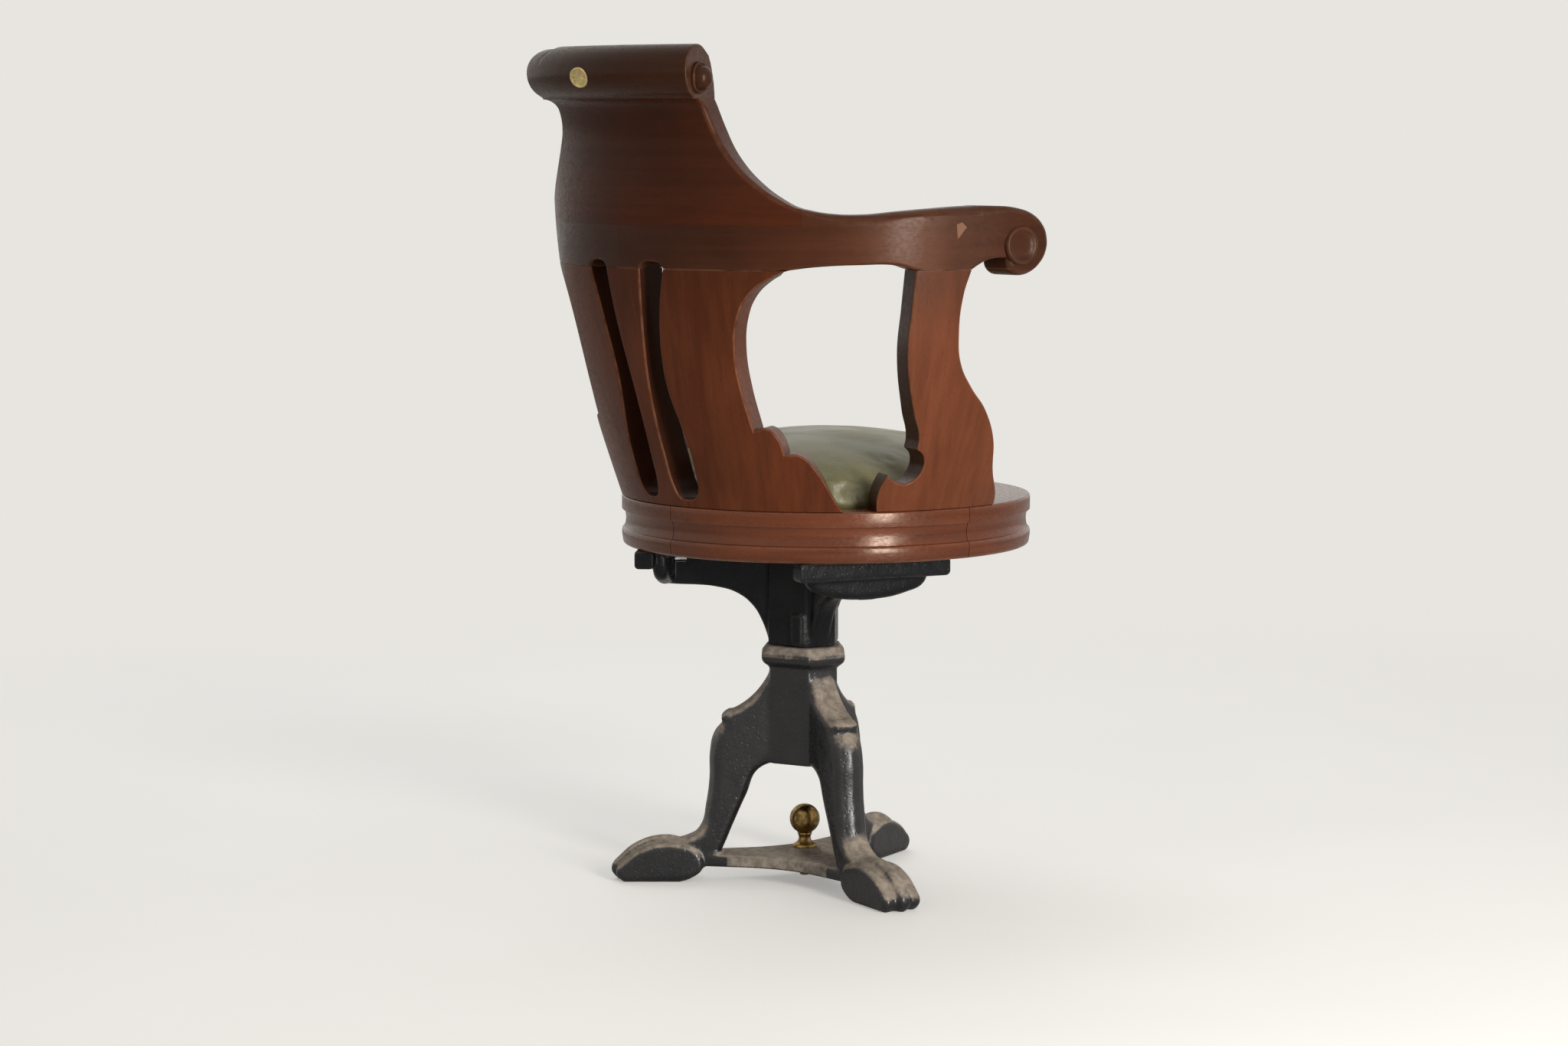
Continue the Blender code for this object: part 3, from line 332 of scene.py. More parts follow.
def add(tree, kind, sockets=None, **settings):
    """A node with its settings made, and its sockets filled by values or links."""
    made = tree.nodes.new(kind)
    for key, value in settings.items():
        setattr(made, key, value)
    fill(made, sockets or {})
    return made


def tree_of(*values):
    """The node tree that the first socket among the values belongs to."""
    return next(value.id_data for value in values if isinstance(value, bpy.types.NodeSocket))


def blend(share, first, second, way="MIX"):
    """Two colours mixed by a share."""
    first, second = [(*c, 1.0) if isinstance(c, tuple) and len(c) == 3 else c for c in (first, second)]
    sockets = {0: share, 6: first, 7: second}
    tree = tree_of(share, first, second)
    return add(tree, "ShaderNodeMix", sockets, data_type="RGBA", blend_type=way).outputs[2]


def sums(way, first, second):
    tree = tree_of(first, second)
    return add(tree, "ShaderNodeMath", {0: first, 1: second}, operation=way).outputs[0]


def scaled(value, share):
    return sums("MULTIPLY", value, share)


def ramp(value, low, high, start=0.0, end=1.0):
    """A value spread from low..high to start..end, eased at both ends."""
    sockets = {"Value": value, "From Min": low, "From Max": high, "To Min": start, "To Max": end}
    return add(value.id_data, "ShaderNodeMapRange", sockets, interpolation_type="SMOOTHSTEP").outputs[0]


def cloud(place, scale, detail=3.0, stretch=None, distortion=0.0):
    """Noise about 1/scale metres across, stretched along its axes where asked."""
    if stretch:
        place = add(place.id_data, "ShaderNodeMapping", {"Vector": place, "Scale": stretch}).outputs[0]
    sockets = {"Vector": place, "Scale": scale, "Detail": detail, "Distortion": distortion}
    return add(place.id_data, "ShaderNodeTexNoise", sockets).outputs["Fac"]


def cells(place, scale):
    """How far a point is from the middle of its cell, in cells about 1/scale metres across."""
    sockets = {"Vector": place, "Scale": scale}
    return add(place.id_data, "ShaderNodeTexVoronoi", sockets, feature="F1").outputs["Distance"]


def effect(name, takes, gives, trade="Shader"):
    """An empty node group with named sockets."""
    tree = bpy.data.node_groups.new(name, f"{trade}NodeTree")
    for label, kind in takes.items():
        tree.interface.new_socket(label, in_out="INPUT", socket_type=f"NodeSocket{kind}")
    for label, kind in gives.items():
        tree.interface.new_socket(label, in_out="OUTPUT", socket_type=f"NodeSocket{kind}")
    return tree, tree.nodes.new("NodeGroupInput").outputs, tree.nodes.new("NodeGroupOutput").inputs


def use(tree, group, sockets):
    return add(tree, "ShaderNodeGroup", sockets, node_tree=group).outputs


def finish(name):
    """A new material: its tree, its shader and the piece's own coordinates."""
    made = bpy.data.materials.new(name)
    made.use_nodes = True
    tree = made.node_tree
    place = tree.nodes.new("ShaderNodeTexCoord").outputs["Object"]
    return made, tree, tree.nodes["Principled BSDF"], place


def own(tree, name, kind="Fac"):
    """A value stored on the piece's points."""
    return add(tree, "ShaderNodeAttribute", attribute_name=name).outputs[kind]


def roughen(shader, height, strength, depth):
    bump = add(shader.id_data, "ShaderNodeBump", {"Height": height, "Strength": strength, "Distance": depth})
    fill(shader, {"Normal": bump.outputs[0]})


# Dust settles on what faces up, thick in some places and rubbed away in others.
settled_dust, takes, gives = effect("settled dust", {"Lies": "Float", "Place": "Vector"}, {"Cover": "Float"})
patches = cloud(takes["Place"], 60.0, 7.0)
fluff = cloud(takes["Place"], 380.0, 4.0)
thick = sums("ADD", takes["Lies"], scaled(patches, 1.1))
thick = sums("ADD", thick, scaled(fluff, 0.55))
settled_dust.links.new(ramp(thick, 1.16, 1.90), gives["Cover"])

# Edges show where they are rubbed, in broken lengths.
rubbed_edge, takes, gives = effect("rubbed edge", {"Rubbed": "Float", "Place": "Vector"}, {"Bare": "Float"})
broken = cloud(takes["Place"], 90.0, 4.0)
strong = scaled(takes["Rubbed"], scaled(broken, 1.6))
rubbed_edge.links.new(ramp(strong, 0.25, 0.95), gives["Bare"])


def painted_iron(name, dust_share, shine):
    """Black gloss paint on a sand casting, pitted and dusty."""
    look, tree, shader, place = finish(name)
    dust = use(tree, settled_dust, {"Lies": own(tree, "lies"), "Place": place})["Cover"]
    dust = scaled(dust, dust_share)
    bare = use(tree, rubbed_edge, {"Rubbed": own(tree, "rubbed"), "Place": place})["Bare"]
    pits = ramp(cells(place, 210.0), 0.10, 0.32)
    sand = cloud(place, 420.0, 5.0)
    swell = cloud(place, 70.0, 3.0)
    faded = ramp(cloud(place, 30.0, 4.0), 0.35, 0.7)
    tone = blend(faded, BLACK_PAINT, (0.011, 0.011, 0.012))
    tone = blend(scaled(bare, 0.20), tone, (0.060, 0.056, 0.054))
    grit = blend(ramp(cloud(place, 130.0, 5.0), 0.3, 0.7), OLD_DUST, (0.240, 0.200, 0.160))
    tone = blend(dust, tone, grit)
    gloss = ramp(sand, 0.3, 0.75, 0.24, 0.40)
    gloss = add(tree, "ShaderNodeMix", {0: dust, 2: gloss, 3: 0.92}).outputs[0]
    fill(shader, {"Base Color": tone, "Roughness": gloss, "Specular IOR Level": shine})
    skin = sums("ADD", scaled(pits, 0.25), scaled(sand, 0.10))
    skin = sums("ADD", skin, scaled(swell, 1.0))
    roughen(shader, skin, 0.45, 0.0016)
    return look


black_iron = painted_iron("black_iron", 0.95, 0.55)
pedestal.data.materials.append(black_iron)
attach(pedestal, "base")
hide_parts("pedestal_base")


# ---------------------------------------------------------------- hand screw
# A brass screw with a ball knob that stands in the web plate and is screwed down to the deck.
# It was turned in a lathe, and its brass has gone brown where nobody polishes it.
KNOB_FOOT = 0.0353
BALL_RADIUS = 0.016
BALL_HEIGHT = KNOB_FOOT + 0.030


def lathe(name, profile, steps=64, place=Matrix.Identity(4)):
    """A turned piece: (radius, height) pairs down its outer side, ends on its axis."""
    solid = bmesh.new()
    rings = []
    for radius, height in profile:
        if radius < 0.00001:
            rings.append([solid.verts.new((0, 0, height))])
            continue
        rings.append([solid.verts.new((x, y, height)) for x, y in round_outline(radius, steps)])
    for upper, lower in zip(rings, rings[1:]):
        for number in range(steps):
            after = (number + 1) % steps
            corners = [upper[number % len(upper)], lower[number % len(lower)]]
            if len(lower) > 1:
                corners.append(lower[after])
            if len(upper) > 1:
                corners.append(upper[after])
            solid.faces.new(corners)
    bmesh.ops.recalc_face_normals(solid, faces=solid.faces)
    solid.transform(place)
    made = joined(name, [solid])
    made.data.shade_smooth()
    made.data.set_sharp_from_angle(angle=math.radians(38))
    return made


def arc(centre, radius, start, end, count):
    """Points of a circle in a profile, from one angle to another."""
    points = []
    for number in range(count + 1):
        turn = math.radians(start + (end - start) * number / count)
        points.append((max(centre[0] + radius * math.cos(turn), 0.0), centre[1] + radius * math.sin(turn)))
    return points


knob = arc((0.0, BALL_HEIGHT), BALL_RADIUS, 90, 12, 10)
knob += [(0.01575, BALL_HEIGHT + 0.0022), (0.0160, BALL_HEIGHT + 0.0014)]
knob += arc((0.0, BALL_HEIGHT), BALL_RADIUS, 2, -58, 8)
knob += [(0.0074, BALL_HEIGHT - 0.0150), (0.0078, BALL_HEIGHT - 0.0162), (0.0069, BALL_HEIGHT - 0.0175)]
knob += [(0.0063, KNOB_FOOT + 0.0105), (0.0066, KNOB_FOOT + 0.0080), (0.0080, KNOB_FOOT + 0.0055)]
knob += [(0.0105, KNOB_FOOT + 0.0037), (0.0119, KNOB_FOOT + 0.0030), (0.0125, KNOB_FOOT + 0.0020)]
knob += [(0.0125, KNOB_FOOT), (0.0050, KNOB_FOOT)]
for thread in range(9):
    groove = KNOB_FOOT - 0.002 - thread * 0.003
    knob += [(0.0050, groove), (0.0042, groove - 0.0009), (0.0050, groove - 0.0018)]
knob += [(0.0050, 0.0056), (0.0044, 0.0050), (0.0, 0.0050)]
hand_screw = lathe("hand_screw", knob)
mark_edges(hand_screw)


def old_brass(name, bright, brown, share, polish):
    """Brass that has browned in patches, with fine turning lines."""
    look, tree, shader, place = finish(name)
    stain = ramp(cloud(place, 160.0, 5.0, distortion=0.6), 0.35, 0.68)
    stain = scaled(stain, share)
    bare = use(tree, rubbed_edge, {"Rubbed": own(tree, "rubbed"), "Place": place})["Bare"]
    tone = blend(stain, bright, brown)
    tone = blend(scaled(bare, 0.5), tone, bright)
    gloss = ramp(stain, 0.0, 1.0, polish, polish + 0.28)
    fill(shader, {"Base Color": tone, "Roughness": gloss, "Metallic": 1.0})
    lines = cloud(place, 900.0, 2.0, (0.15, 0.15, 1.0))
    roughen(shader, lines, 0.25, 0.0004)
    return look


knob_brass = old_brass("browned_brass", (0.33, 0.215, 0.070), (0.110, 0.066, 0.030), 0.90, 0.24)
hand_screw.data.materials.append(knob_brass)
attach(hand_screw, "deck_screw")
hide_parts("deck_screw")


# ---------------------------------------------------------------- swivel
# A steel spindle stands in the column, and the seat's hub turns on it in a brass bush and on a
# brass thrust washer. A keeper washer and a hexagon nut hold the seat down. All of it is hidden.
def oiled_steel(name):
    look, _, shader, place = finish(name)
    film = ramp(cloud(place, 120.0, 4.0), 0.35, 0.7)
    tone = blend(film, (0.42, 0.42, 0.44), (0.20, 0.18, 0.16))
    gloss = ramp(film, 0.0, 1.0, 0.28, 0.50)
    fill(shader, {"Base Color": tone, "Roughness": gloss, "Metallic": 1.0})
    roughen(shader, cloud(place, 700.0, 2.0, (0.2, 0.2, 1.0)), 0.2, 0.0004)
    return look


def dress(look, *nodes):
    """Gives solids that are right as they are their finish."""
    for node in nodes:
        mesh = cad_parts[node].data
        mesh.materials.clear()
        mesh.materials.append(look)


steel = oiled_steel("oiled_steel")
dress(steel, "swivel_spindle", "keeper_washer", "spindle_nut")
bearing_brass = old_brass("bearing_brass", (0.55, 0.40, 0.15), (0.30, 0.19, 0.08), 0.6, 0.25)
dress(bearing_brass, "thrust_washer", "swivel_bush")


# ---------------------------------------------------------------- spider
# The iron casting that carries the seat: a hub on the collar, three webs that sweep out to lipped
# pads under the ring, and a half-moon gusset behind each lip. Same paint as the pedestal.
ARM_TURNS = (43.0, 163.0, 283.0)
HUB_BOTTOM = 0.2536
HUB_TOP = 0.3506
PAD_TOP = 0.3598
PAD_REACH = 0.171


def block(size, place, soft):
    """A cast block with rounded edges."""
    half, wide = size[0] / 2, size[1] / 2
    corners = [(-half, -wide, True), (half, -wide, True), (half, wide, True), (-half, wide, True)]
    return moved(slab(corners, size[2], soft), Matrix.Translation(place))


def spider_arm(turn):
    root = HUB_BOTTOM + 0.003
    depth = PAD_TOP - root
    end = PAD_REACH - 0.010
    tip = PAD_REACH - 0.022
    web = [(0.030, PAD_TOP - 0.0003, True), (tip, PAD_TOP - 0.0003, True), (tip, root + depth * 0.58, True)]
    under = ((0.85, 0.575), (0.56, 0.546), (0.43, 0.479), (0.335, 0.355), (0.278, 0.203))
    web += [(end * out, root + depth * up) for out, up in under]
    web += [(COLUMN_FACE, root, True), (0.030, root, True)]
    yield moved(slab(web, 0.024, 0.0045), upright(turn))
    yield moved(block((0.020, 0.170, 0.020), (PAD_REACH - 0.010, 0, PAD_TOP - 0.010), 0.0035), spun(turn))
    yield moved(block((0.056, 0.132, 0.008), (PAD_REACH - 0.0283, 0, PAD_TOP - 0.0043), 0.002), spun(turn))
    moon = [(-0.070, -0.006, True)]
    for angle in (160, 130, 90, 50, 20):
        bend = math.radians(angle)
        moon.append((0.070 * math.cos(bend), -0.020 - 0.023 * math.sin(bend)))
    moon.append((0.070, -0.006, True))
    facing = Matrix.Rotation(math.pi / 2, 4, "Z") @ Matrix.Rotation(math.pi / 2, 4, "X")
    yield moved(slab(moon, 0.017, 0.0076), facing, lifted(PAD_TOP, PAD_REACH - 0.0251), spun(turn))


spider_shells = [
    three_sided(HUB_BOTTOM + 0.0042, HUB_TOP, 0.0, ARM_TURNS, 0.0025, hole=0.0187),
    three_sided(HUB_BOTTOM, HUB_BOTTOM + 0.012, 0.0, ARM_TURNS, 0.0015, hole=0.0266),
    moved(block((0.012, 0.013, 0.034), (0.0325, 0.0150, HUB_BOTTOM + 0.0185), 0.0022), spun(103.0)),
]
for turn in ARM_TURNS:
    spider_shells.extend(spider_arm(turn))
spider = cast("iron_spider", spider_shells, CAST_VOXEL, 4)
mark_dust(spider)
mark_edges(spider)
# The spider's copy of the paint has little dust, and a lower shine that darkens it as painted shade under the
# seat ring.
spider.data.materials.append(painted_iron("black_iron_sheltered", 0.12, 0.15))
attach(spider, "seat")
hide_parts("seat_spider")


# ---------------------------------------------------------------- coach screws
# Two square-headed steel screws with round washers go up through each pad into the seat ring.
# They are all alike, so one screw is drawn and set at six places.
SCREW_OUT = 0.127
SCREW_SPREAD = 0.096
SCREW_SEAT = 0.3512


def screw_tree(look):
    """Places a washered square-headed screw, pointing up, at every point it is given."""
    sizes = {"Head": 0.0060, "Head height": 0.0042, "Washer": 0.0084, "Shank": 0.0039, "Length": 0.0280}
    wanted = {"Places": "Geometry", **dict.fromkeys(sizes, "Float")}
    tree, takes, gives = effect("coach screws", wanted, {"Screws": "Geometry"}, "Geometry")
    for label, size in sizes.items():
        tree.interface.items_tree[label].default_value = size

    def stack(solid, height):
        offset = add(tree, "ShaderNodeCombineXYZ", {2: height}).outputs[0]
        return add(tree, "GeometryNodeTransform", {"Geometry": solid, "Translation": offset}).outputs[0]

    washer_height = 0.0015
    corner = scaled(takes["Head"], math.sqrt(2))
    crown = scaled(corner, 0.82)
    washer = {"Vertices": 28, "Radius": takes["Washer"], "Depth": washer_height}
    half_head = scaled(takes["Head height"], 0.5)
    below = scaled(sums("ADD", half_head, washer_height), -1.0)
    head = {"Vertices": 4, "Radius Top": corner, "Radius Bottom": corner, "Depth": takes["Head height"]}
    cap_drop = scaled(sums("ADD", takes["Head height"], washer_height + 0.00025), -1.0)
    cap = {"Vertices": 4, "Radius Top": corner, "Radius Bottom": crown, "Depth": 0.0005}
    shank = {"Vertices": 20, "Radius": takes["Shank"], "Depth": takes["Length"]}
    half_shank = scaled(takes["Length"], 0.5)
    shapes = [
        stack(add(tree, "GeometryNodeMeshCylinder", washer).outputs["Mesh"], -washer_height / 2),
        stack(add(tree, "GeometryNodeMeshCone", head).outputs["Mesh"], below),
        stack(add(tree, "GeometryNodeMeshCone", cap).outputs["Mesh"], cap_drop),
        stack(add(tree, "GeometryNodeMeshCylinder", shank).outputs["Mesh"], half_shank),
    ]
    whole = tree.nodes.new("GeometryNodeJoinGeometry")
    for shape in shapes:
        tree.links.new(shape, whole.inputs[0])
    turned = add(tree, "FunctionNodeRandomValue", {2: 0.0, 3: 1.5, "Seed": 4}, data_type="FLOAT").outputs[1]
    spin = add(tree, "ShaderNodeCombineXYZ", {2: turned}).outputs[0]
    sockets = {"Points": takes["Places"], "Instance": whole.outputs[0], "Rotation": spin}
    placed = add(tree, "GeometryNodeInstanceOnPoints", sockets).outputs[0]
    real = add(tree, "GeometryNodeRealizeInstances", {0: placed}).outputs[0]
    finished = add(tree, "GeometryNodeSetMaterial", {"Geometry": real, "Material": look}).outputs[0]
    tree.links.new(finished, gives["Screws"])
    return tree


screw_places = bpy.data.meshes.new("coach_screws")
spots = []
for turn in ARM_TURNS:
    for across in (-SCREW_SPREAD / 2, SCREW_SPREAD / 2):
        spots.append((*off_radius(turn, SCREW_OUT, across), SCREW_SEAT))
screw_places.from_pydata(spots, [], [])
coach_screws = new_piece("coach_screws", screw_places)
coach_screws.modifiers.new("screws", "NODES").node_group = screw_tree(steel)
settled(coach_screws)
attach(coach_screws, "seat")
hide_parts(*[f"coach_screw_{number}" for number in range(1, 7)])


# ---------------------------------------------------------------- seat ring
# Four quarters of mahogany, tongued end to end and moulded outside with a fascia, a shallow cove
# and a bottom bead. The quarters are varnished together, and fine lines show where they meet.
TUB_Y = -0.030
RING_RADIUS = 0.216
RING_BOTTOM = 0.3601
RING_TOP = 0.4126
RING_LEDGE = 0.3936
RING_BORE = 0.085
SEAT_HOLE = 0.1789


def moulding_tree():
    """Sweeps a profile round an arc about the middle of the tub."""
    wanted = {"Profile": "Geometry", "Radius": "Float", "Start": "Float", "Sweep": "Float"}
    wanted.update({"Steps": "Int", "Wood": "Material"})
    tree, takes, gives = effect("moulding", wanted, {"Moulding": "Geometry"}, "Geometry")
    path = {"Resolution": takes["Steps"], "Radius": takes["Radius"], "Start Angle": takes["Start"]}
    path["Sweep Angle"] = takes["Sweep"]
    bow = add(tree, "GeometryNodeCurveArc", path).outputs[0]
    sweep = {"Curve": bow, "Profile Curve": takes["Profile"], "Fill Caps": True}
    solid = add(tree, "GeometryNodeCurveToMesh", sweep).outputs[0]
    real = add(tree, "GeometryNodeRealizeInstances", {0: solid}).outputs[0]
    wooden = add(tree, "GeometryNodeSetMaterial", {"Geometry": real, "Material": takes["Wood"]}).outputs[0]
    tree.links.new(wooden, gives["Moulding"])
    return tree


moulding = moulding_tree()


def moulded(name, profile, start, end, look, steps):
    """A length of moulding of (radius, height) points, from turn to turn round the tub."""
    middle = sum(radius for radius, _ in profile) / len(profile)
    curve = bpy.data.curves.new(name, "CURVE")
    curve.dimensions = "3D"
    spline = curve.splines.new("POLY")
    spline.use_cyclic_u = True
    spline.points.add(len(profile) - 1)
    for point, (radius, height) in zip(spline.points, profile):
        point.co = (radius - middle, -height, 0, 1)
    guide = new_piece("guide", curve)
    sweep = guide.modifiers.new("sweep", "NODES")
    sweep.node_group = moulding
    values = {"Radius": middle, "Start": math.radians(90 + start), "Sweep": math.radians(end - start)}
    values.update({"Steps": steps, "Wood": look})
    for socket in moulding.interface.items_tree:
        if socket.name in values:
            sweep[socket.identifier] = values[socket.name]
    graph = bpy.context.evaluated_depsgraph_get()
    mesh = bpy.data.meshes.new_from_object(guide.evaluated_get(graph))
    bpy.data.objects.remove(guide)
    mesh.name = name
    made = new_piece(name, mesh)
    solid = opened(made)
    size = len(profile)
    assert len(solid.verts) == size * steps
    for vert in solid.verts:
        number = vert.index // size
        if number in (0, steps - 1):
            turn = math.radians(90 + (start if number == 0 else end))
            radius = profile[vert.index % size][0]
            vert.co.x = radius * math.cos(turn)
            vert.co.y = radius * math.sin(turn)
        vert.co.y += TUB_Y
    bmesh.ops.recalc_face_normals(solid, faces=solid.faces)
    closed(solid, made)
    mesh.shade_smooth()
    mesh.set_sharp_from_angle(angle=math.radians(42))
    return made


def lay_grain(piece, along, shift, middle=0.0):
    """Stores how far each point lies along, across and into the plank it was cut from."""
    places = []
    for vert in piece.data.vertices:
        turn = math.atan2(-vert.co.x, vert.co.y - TUB_Y)
        turn = math.remainder(turn - math.radians(middle), math.tau) + math.radians(middle)
        round_tub = turn * 0.25
        depth = math.hypot(vert.co.x, vert.co.y - TUB_Y)
        pair = (round_tub, vert.co.z) if along == "round" else (vert.co.z, round_tub)
        places += (pair[0] + shift, pair[1] + shift * 0.7, depth)
    layer = piece.data.attributes.new("lay", "FLOAT_VECTOR", "POINT")
    layer.data.foreach_set("vector", places)


def worked(piece, along, shift, look):
    """Gives a wooden piece its grain, its rubbed edges and its varnish."""
    lay_grain(piece, along, shift)
    mark_edges(piece)
    piece.data.materials.append(look)


# Mahogany: long streaks, a slow change from brown to red, and short dark pores along the grain.
sockets = {"Lay": "Vector", "Pale": "Color", "Deep": "Color"}
mahogany_grain, takes, gives = effect("mahogany grain", sockets, {"Tone": "Color", "Pores": "Float"})
streaks = cloud(takes["Lay"], 1.0, 4.0, (5.0, 130.0, 60.0), 0.35)
figure = cloud(takes["Lay"], 1.0, 3.0, (3.2, 22.0, 12.0), 0.8)
pores = cloud(takes["Lay"], 1.0, 1.0, (95.0, 1500.0, 900.0))
pores = ramp(pores, 0.60, 0.70)
shares = scaled(streaks, 0.5)
shares = sums("ADD", shares, scaled(figure, 0.5))
tone = blend(ramp(shares, 0.28, 0.70), takes["Deep"], takes["Pale"])
tone = blend(scaled(pores, 0.28), tone, (0.018, 0.007, 0.004))
mahogany_grain.links.new(tone, gives["Tone"])
mahogany_grain.links.new(pores, gives["Pores"])


def varnished(name, pale, deep, worn, wear, darker_bands=(), rough=0.34, shine=0.18, painted_shade=0.0, seam=None, chip=None):
    """Old varnish on mahogany: worn pale on its edges, darker in random patches and in the bands it is given,
    and painted dark as shade on marked edge faces.
    """
    look, tree, shader, place = finish(name)
    sockets = {"Lay": own(tree, "lay", "Vector"), "Pale": (*pale, 1), "Deep": (*deep, 1)}
    grain = use(tree, mahogany_grain, sockets)
    bare = use(tree, rubbed_edge, {"Rubbed": own(tree, "rubbed"), "Place": place})["Bare"]
    bare = scaled(bare, wear)
    along = add(tree, "ShaderNodeSeparateXYZ", {0: place}).outputs
    height = along[2]
    tone = grain["Tone"]
    darker_share = ramp(cloud(place, 9.0, 4.0), 0.40, 0.72)
    darker_share = scaled(darker_share, 0.35)
    # Darker in each given band: towards the top of posts, panels and comb, and towards the back and the front
    # of each arm.
    for way, low, high, share in darker_bands:
        darker_share = sums("ADD", darker_share, scaled(ramp(along[way], low, high), share))
    darker_share = add(tree, "ShaderNodeClamp", {0: darker_share}).outputs[0]
    tone = blend(darker_share, tone, blend(0.62, tone, (0.012, 0.005, 0.003)))
    # Painted shade: the edge faces that bent_board marked are darkened towards a near-black brown.
    if painted_shade:
        tone = blend(scaled(own(tree, "painted_shade"), painted_shade), tone, (0.014, 0.005, 0.003))
    if seam:
        off = sums("ABSOLUTE", sums("SUBTRACT", height, seam), 0.0)
        line = ramp(off, 0.0003, 0.0008, 1.0, 0.0)
        line = scaled(line, ramp(cloud(place, 60.0, 3.0), 0.35, 0.60))
        bare = sums("MAXIMUM", bare, scaled(line, 0.32))
    if chip:
        spot, sides = chip
        off = add(tree, "ShaderNodeVectorMath", {0: place, 1: spot}, operation="SUBTRACT").outputs[0]
        reach = scaled(cloud(place, 220.0, 3.0), 0.0024)
        for way in sides:
            out = add(tree, "ShaderNodeVectorMath", {0: off, 1: way}, operation="DOT_PRODUCT")
            reach = sums("MAXIMUM", reach, out.outputs["Value"])
        mark_off = ramp(reach, 0.0038, 0.0044, 0.55, 0.0)
        bare = sums("MAXIMUM", bare, mark_off)
    tone = blend(bare, tone, worn)
    scuffs = cloud(place, 240.0, 5.0)
    gloss = ramp(scuffs, 0.30, 0.75, rough - 0.04, rough + 0.10)
    gloss = sums("ADD", gloss, scaled(grain["Pores"], 0.12))
    ripples = scaled(cloud(place, 38.0, 2.0), 1.5)
    skin = sums("SUBTRACT", ripples, scaled(grain["Pores"], 0.25))
    skin = sums("ADD", skin, scaled(scuffs, 0.06))
    roughen(shader, skin, 0.22, 0.0009)
    fill(shader, {"Base Color": tone, "Roughness": gloss, "Specular IOR Level": shine})
    fill(shader, {"Specular Tint": (1.0, 0.80, 0.66, 1.0), "Coat Weight": 0.05, "Coat Roughness": 0.14})
    return look


def ring_section():
    """The ring's section, from the seat's edge over the top, down the moulding and back inside."""
    top, bottom, out = RING_TOP, RING_BOTTOM, RING_RADIUS
    section = [(SEAT_HOLE, top - 0.0012), (SEAT_HOLE + 0.0012, top)]
    section += arc((out - 0.0026, top - 0.0026), 0.0026, 90, 0, 5)
    section += arc((out - 0.0008, top - 0.0152), 0.0008, 0, -90, 3)
    section += [(out - 0.0026, top - 0.0161), (out - 0.0029, top - 0.0168)]
    for step in range(1, 8):
        share = step / 8
        section.append((out - 0.0029 - 0.0014 * math.sin(share * math.pi), top - 0.0168 - 0.0180 * share))
    section += [(out - 0.0027, top - 0.0350), (out - 0.0012, top - 0.0358), (out - 0.0004, top - 0.0368)]
    section += [(out, top - 0.0395), (out, top - 0.0425), (out - 0.0006, top - 0.0462)]
    section += arc((out - 0.0046, bottom + 0.0036), 0.0036, 0, -90, 5)
    section += [(RING_BORE, bottom), (RING_BORE, RING_LEDGE), (SEAT_HOLE, RING_LEDGE)]
    return section


ring_wood = varnished(
    "ring_mahogany", (0.145, 0.034, 0.011), (0.076, 0.016, 0.005), (0.300, 0.115, 0.055), 0.22,
    rough=0.21, shine=0.50,
)
quarters = {"rear_right": -90.0, "rear_left": 0.0, "front_left": 90.0, "front_right": 180.0}
for number, (corner, start) in enumerate(quarters.items()):
    joint = math.degrees(0.00015 / RING_BORE)
    quarter = moulded(f"seat_ring_{corner}", ring_section(), start + joint, start + 90 - joint, ring_wood, 91)
    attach(quarter, "seat")
    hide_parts(f"ring_{corner}")
    lay_grain(quarter, "round", 1.3 * number, -(start + 45))
    mark_edges(quarter)


# ---------------------------------------------------------------- tongues, dowels and seat board
# Loose beech tongues hold the ring's quarters, beech dowels peg the back together, and a round
# beech board under the stuffing drops into the ring. Planed, unvarnished and out of sight.
def planed_beech(name):
    look, _, shader, place = finish(name)
    grain = cloud(place, 1.0, 4.0, (14.0, 160.0, 160.0), 0.4)
    flecks = ramp(cloud(place, 1.0, 1.0, (240.0, 1500.0, 1500.0)), 0.62, 0.72)
    tone = blend(ramp(grain, 0.35, 0.65), (0.40, 0.26, 0.14), (0.54, 0.38, 0.23))
    tone = blend(scaled(flecks, 0.5), tone, (0.26, 0.15, 0.08))
    fill(shader, {"Base Color": tone, "Roughness": ramp(grain, 0.3, 0.7, 0.55, 0.72)})
    roughen(shader, grain, 0.3, 0.0006)
    return look


beech = planed_beech("planed_beech")
dress(beech, "seat_board", *[f"ring_tongue_{place}" for place in ("rear", "right", "front", "left")])
for joint in ("panel_top", "panel_foot", "post_top", "post_foot", "splat_foot", "comb", "crest"):
    dress(beech, f"{joint}_dowel_right", f"{joint}_dowel_left")


# ---------------------------------------------------------------- leather seat
# A round domed seat of dark green leather over a stuffed pad on the board. The leather is drawn
# down over the edge and tacked out of sight inside the ring, so it is tight on top and puckers low.
CUSHION_BOTTOM = 0.4062
CUSHION_CROWN = 0.4776
CUSHION_RIM = 0.1755
CUSHION_SIDE = 0.1843
PUCKER_TOP = 0.448
PUCKER_DEPTH = 0.0011
PUCKERS = 34
CROWN_FOOT = 0.440
CROWN_FADE = 0.030
SAG_DEPTH = 0.0016
WRINKLE_DEPTH = 0.0005


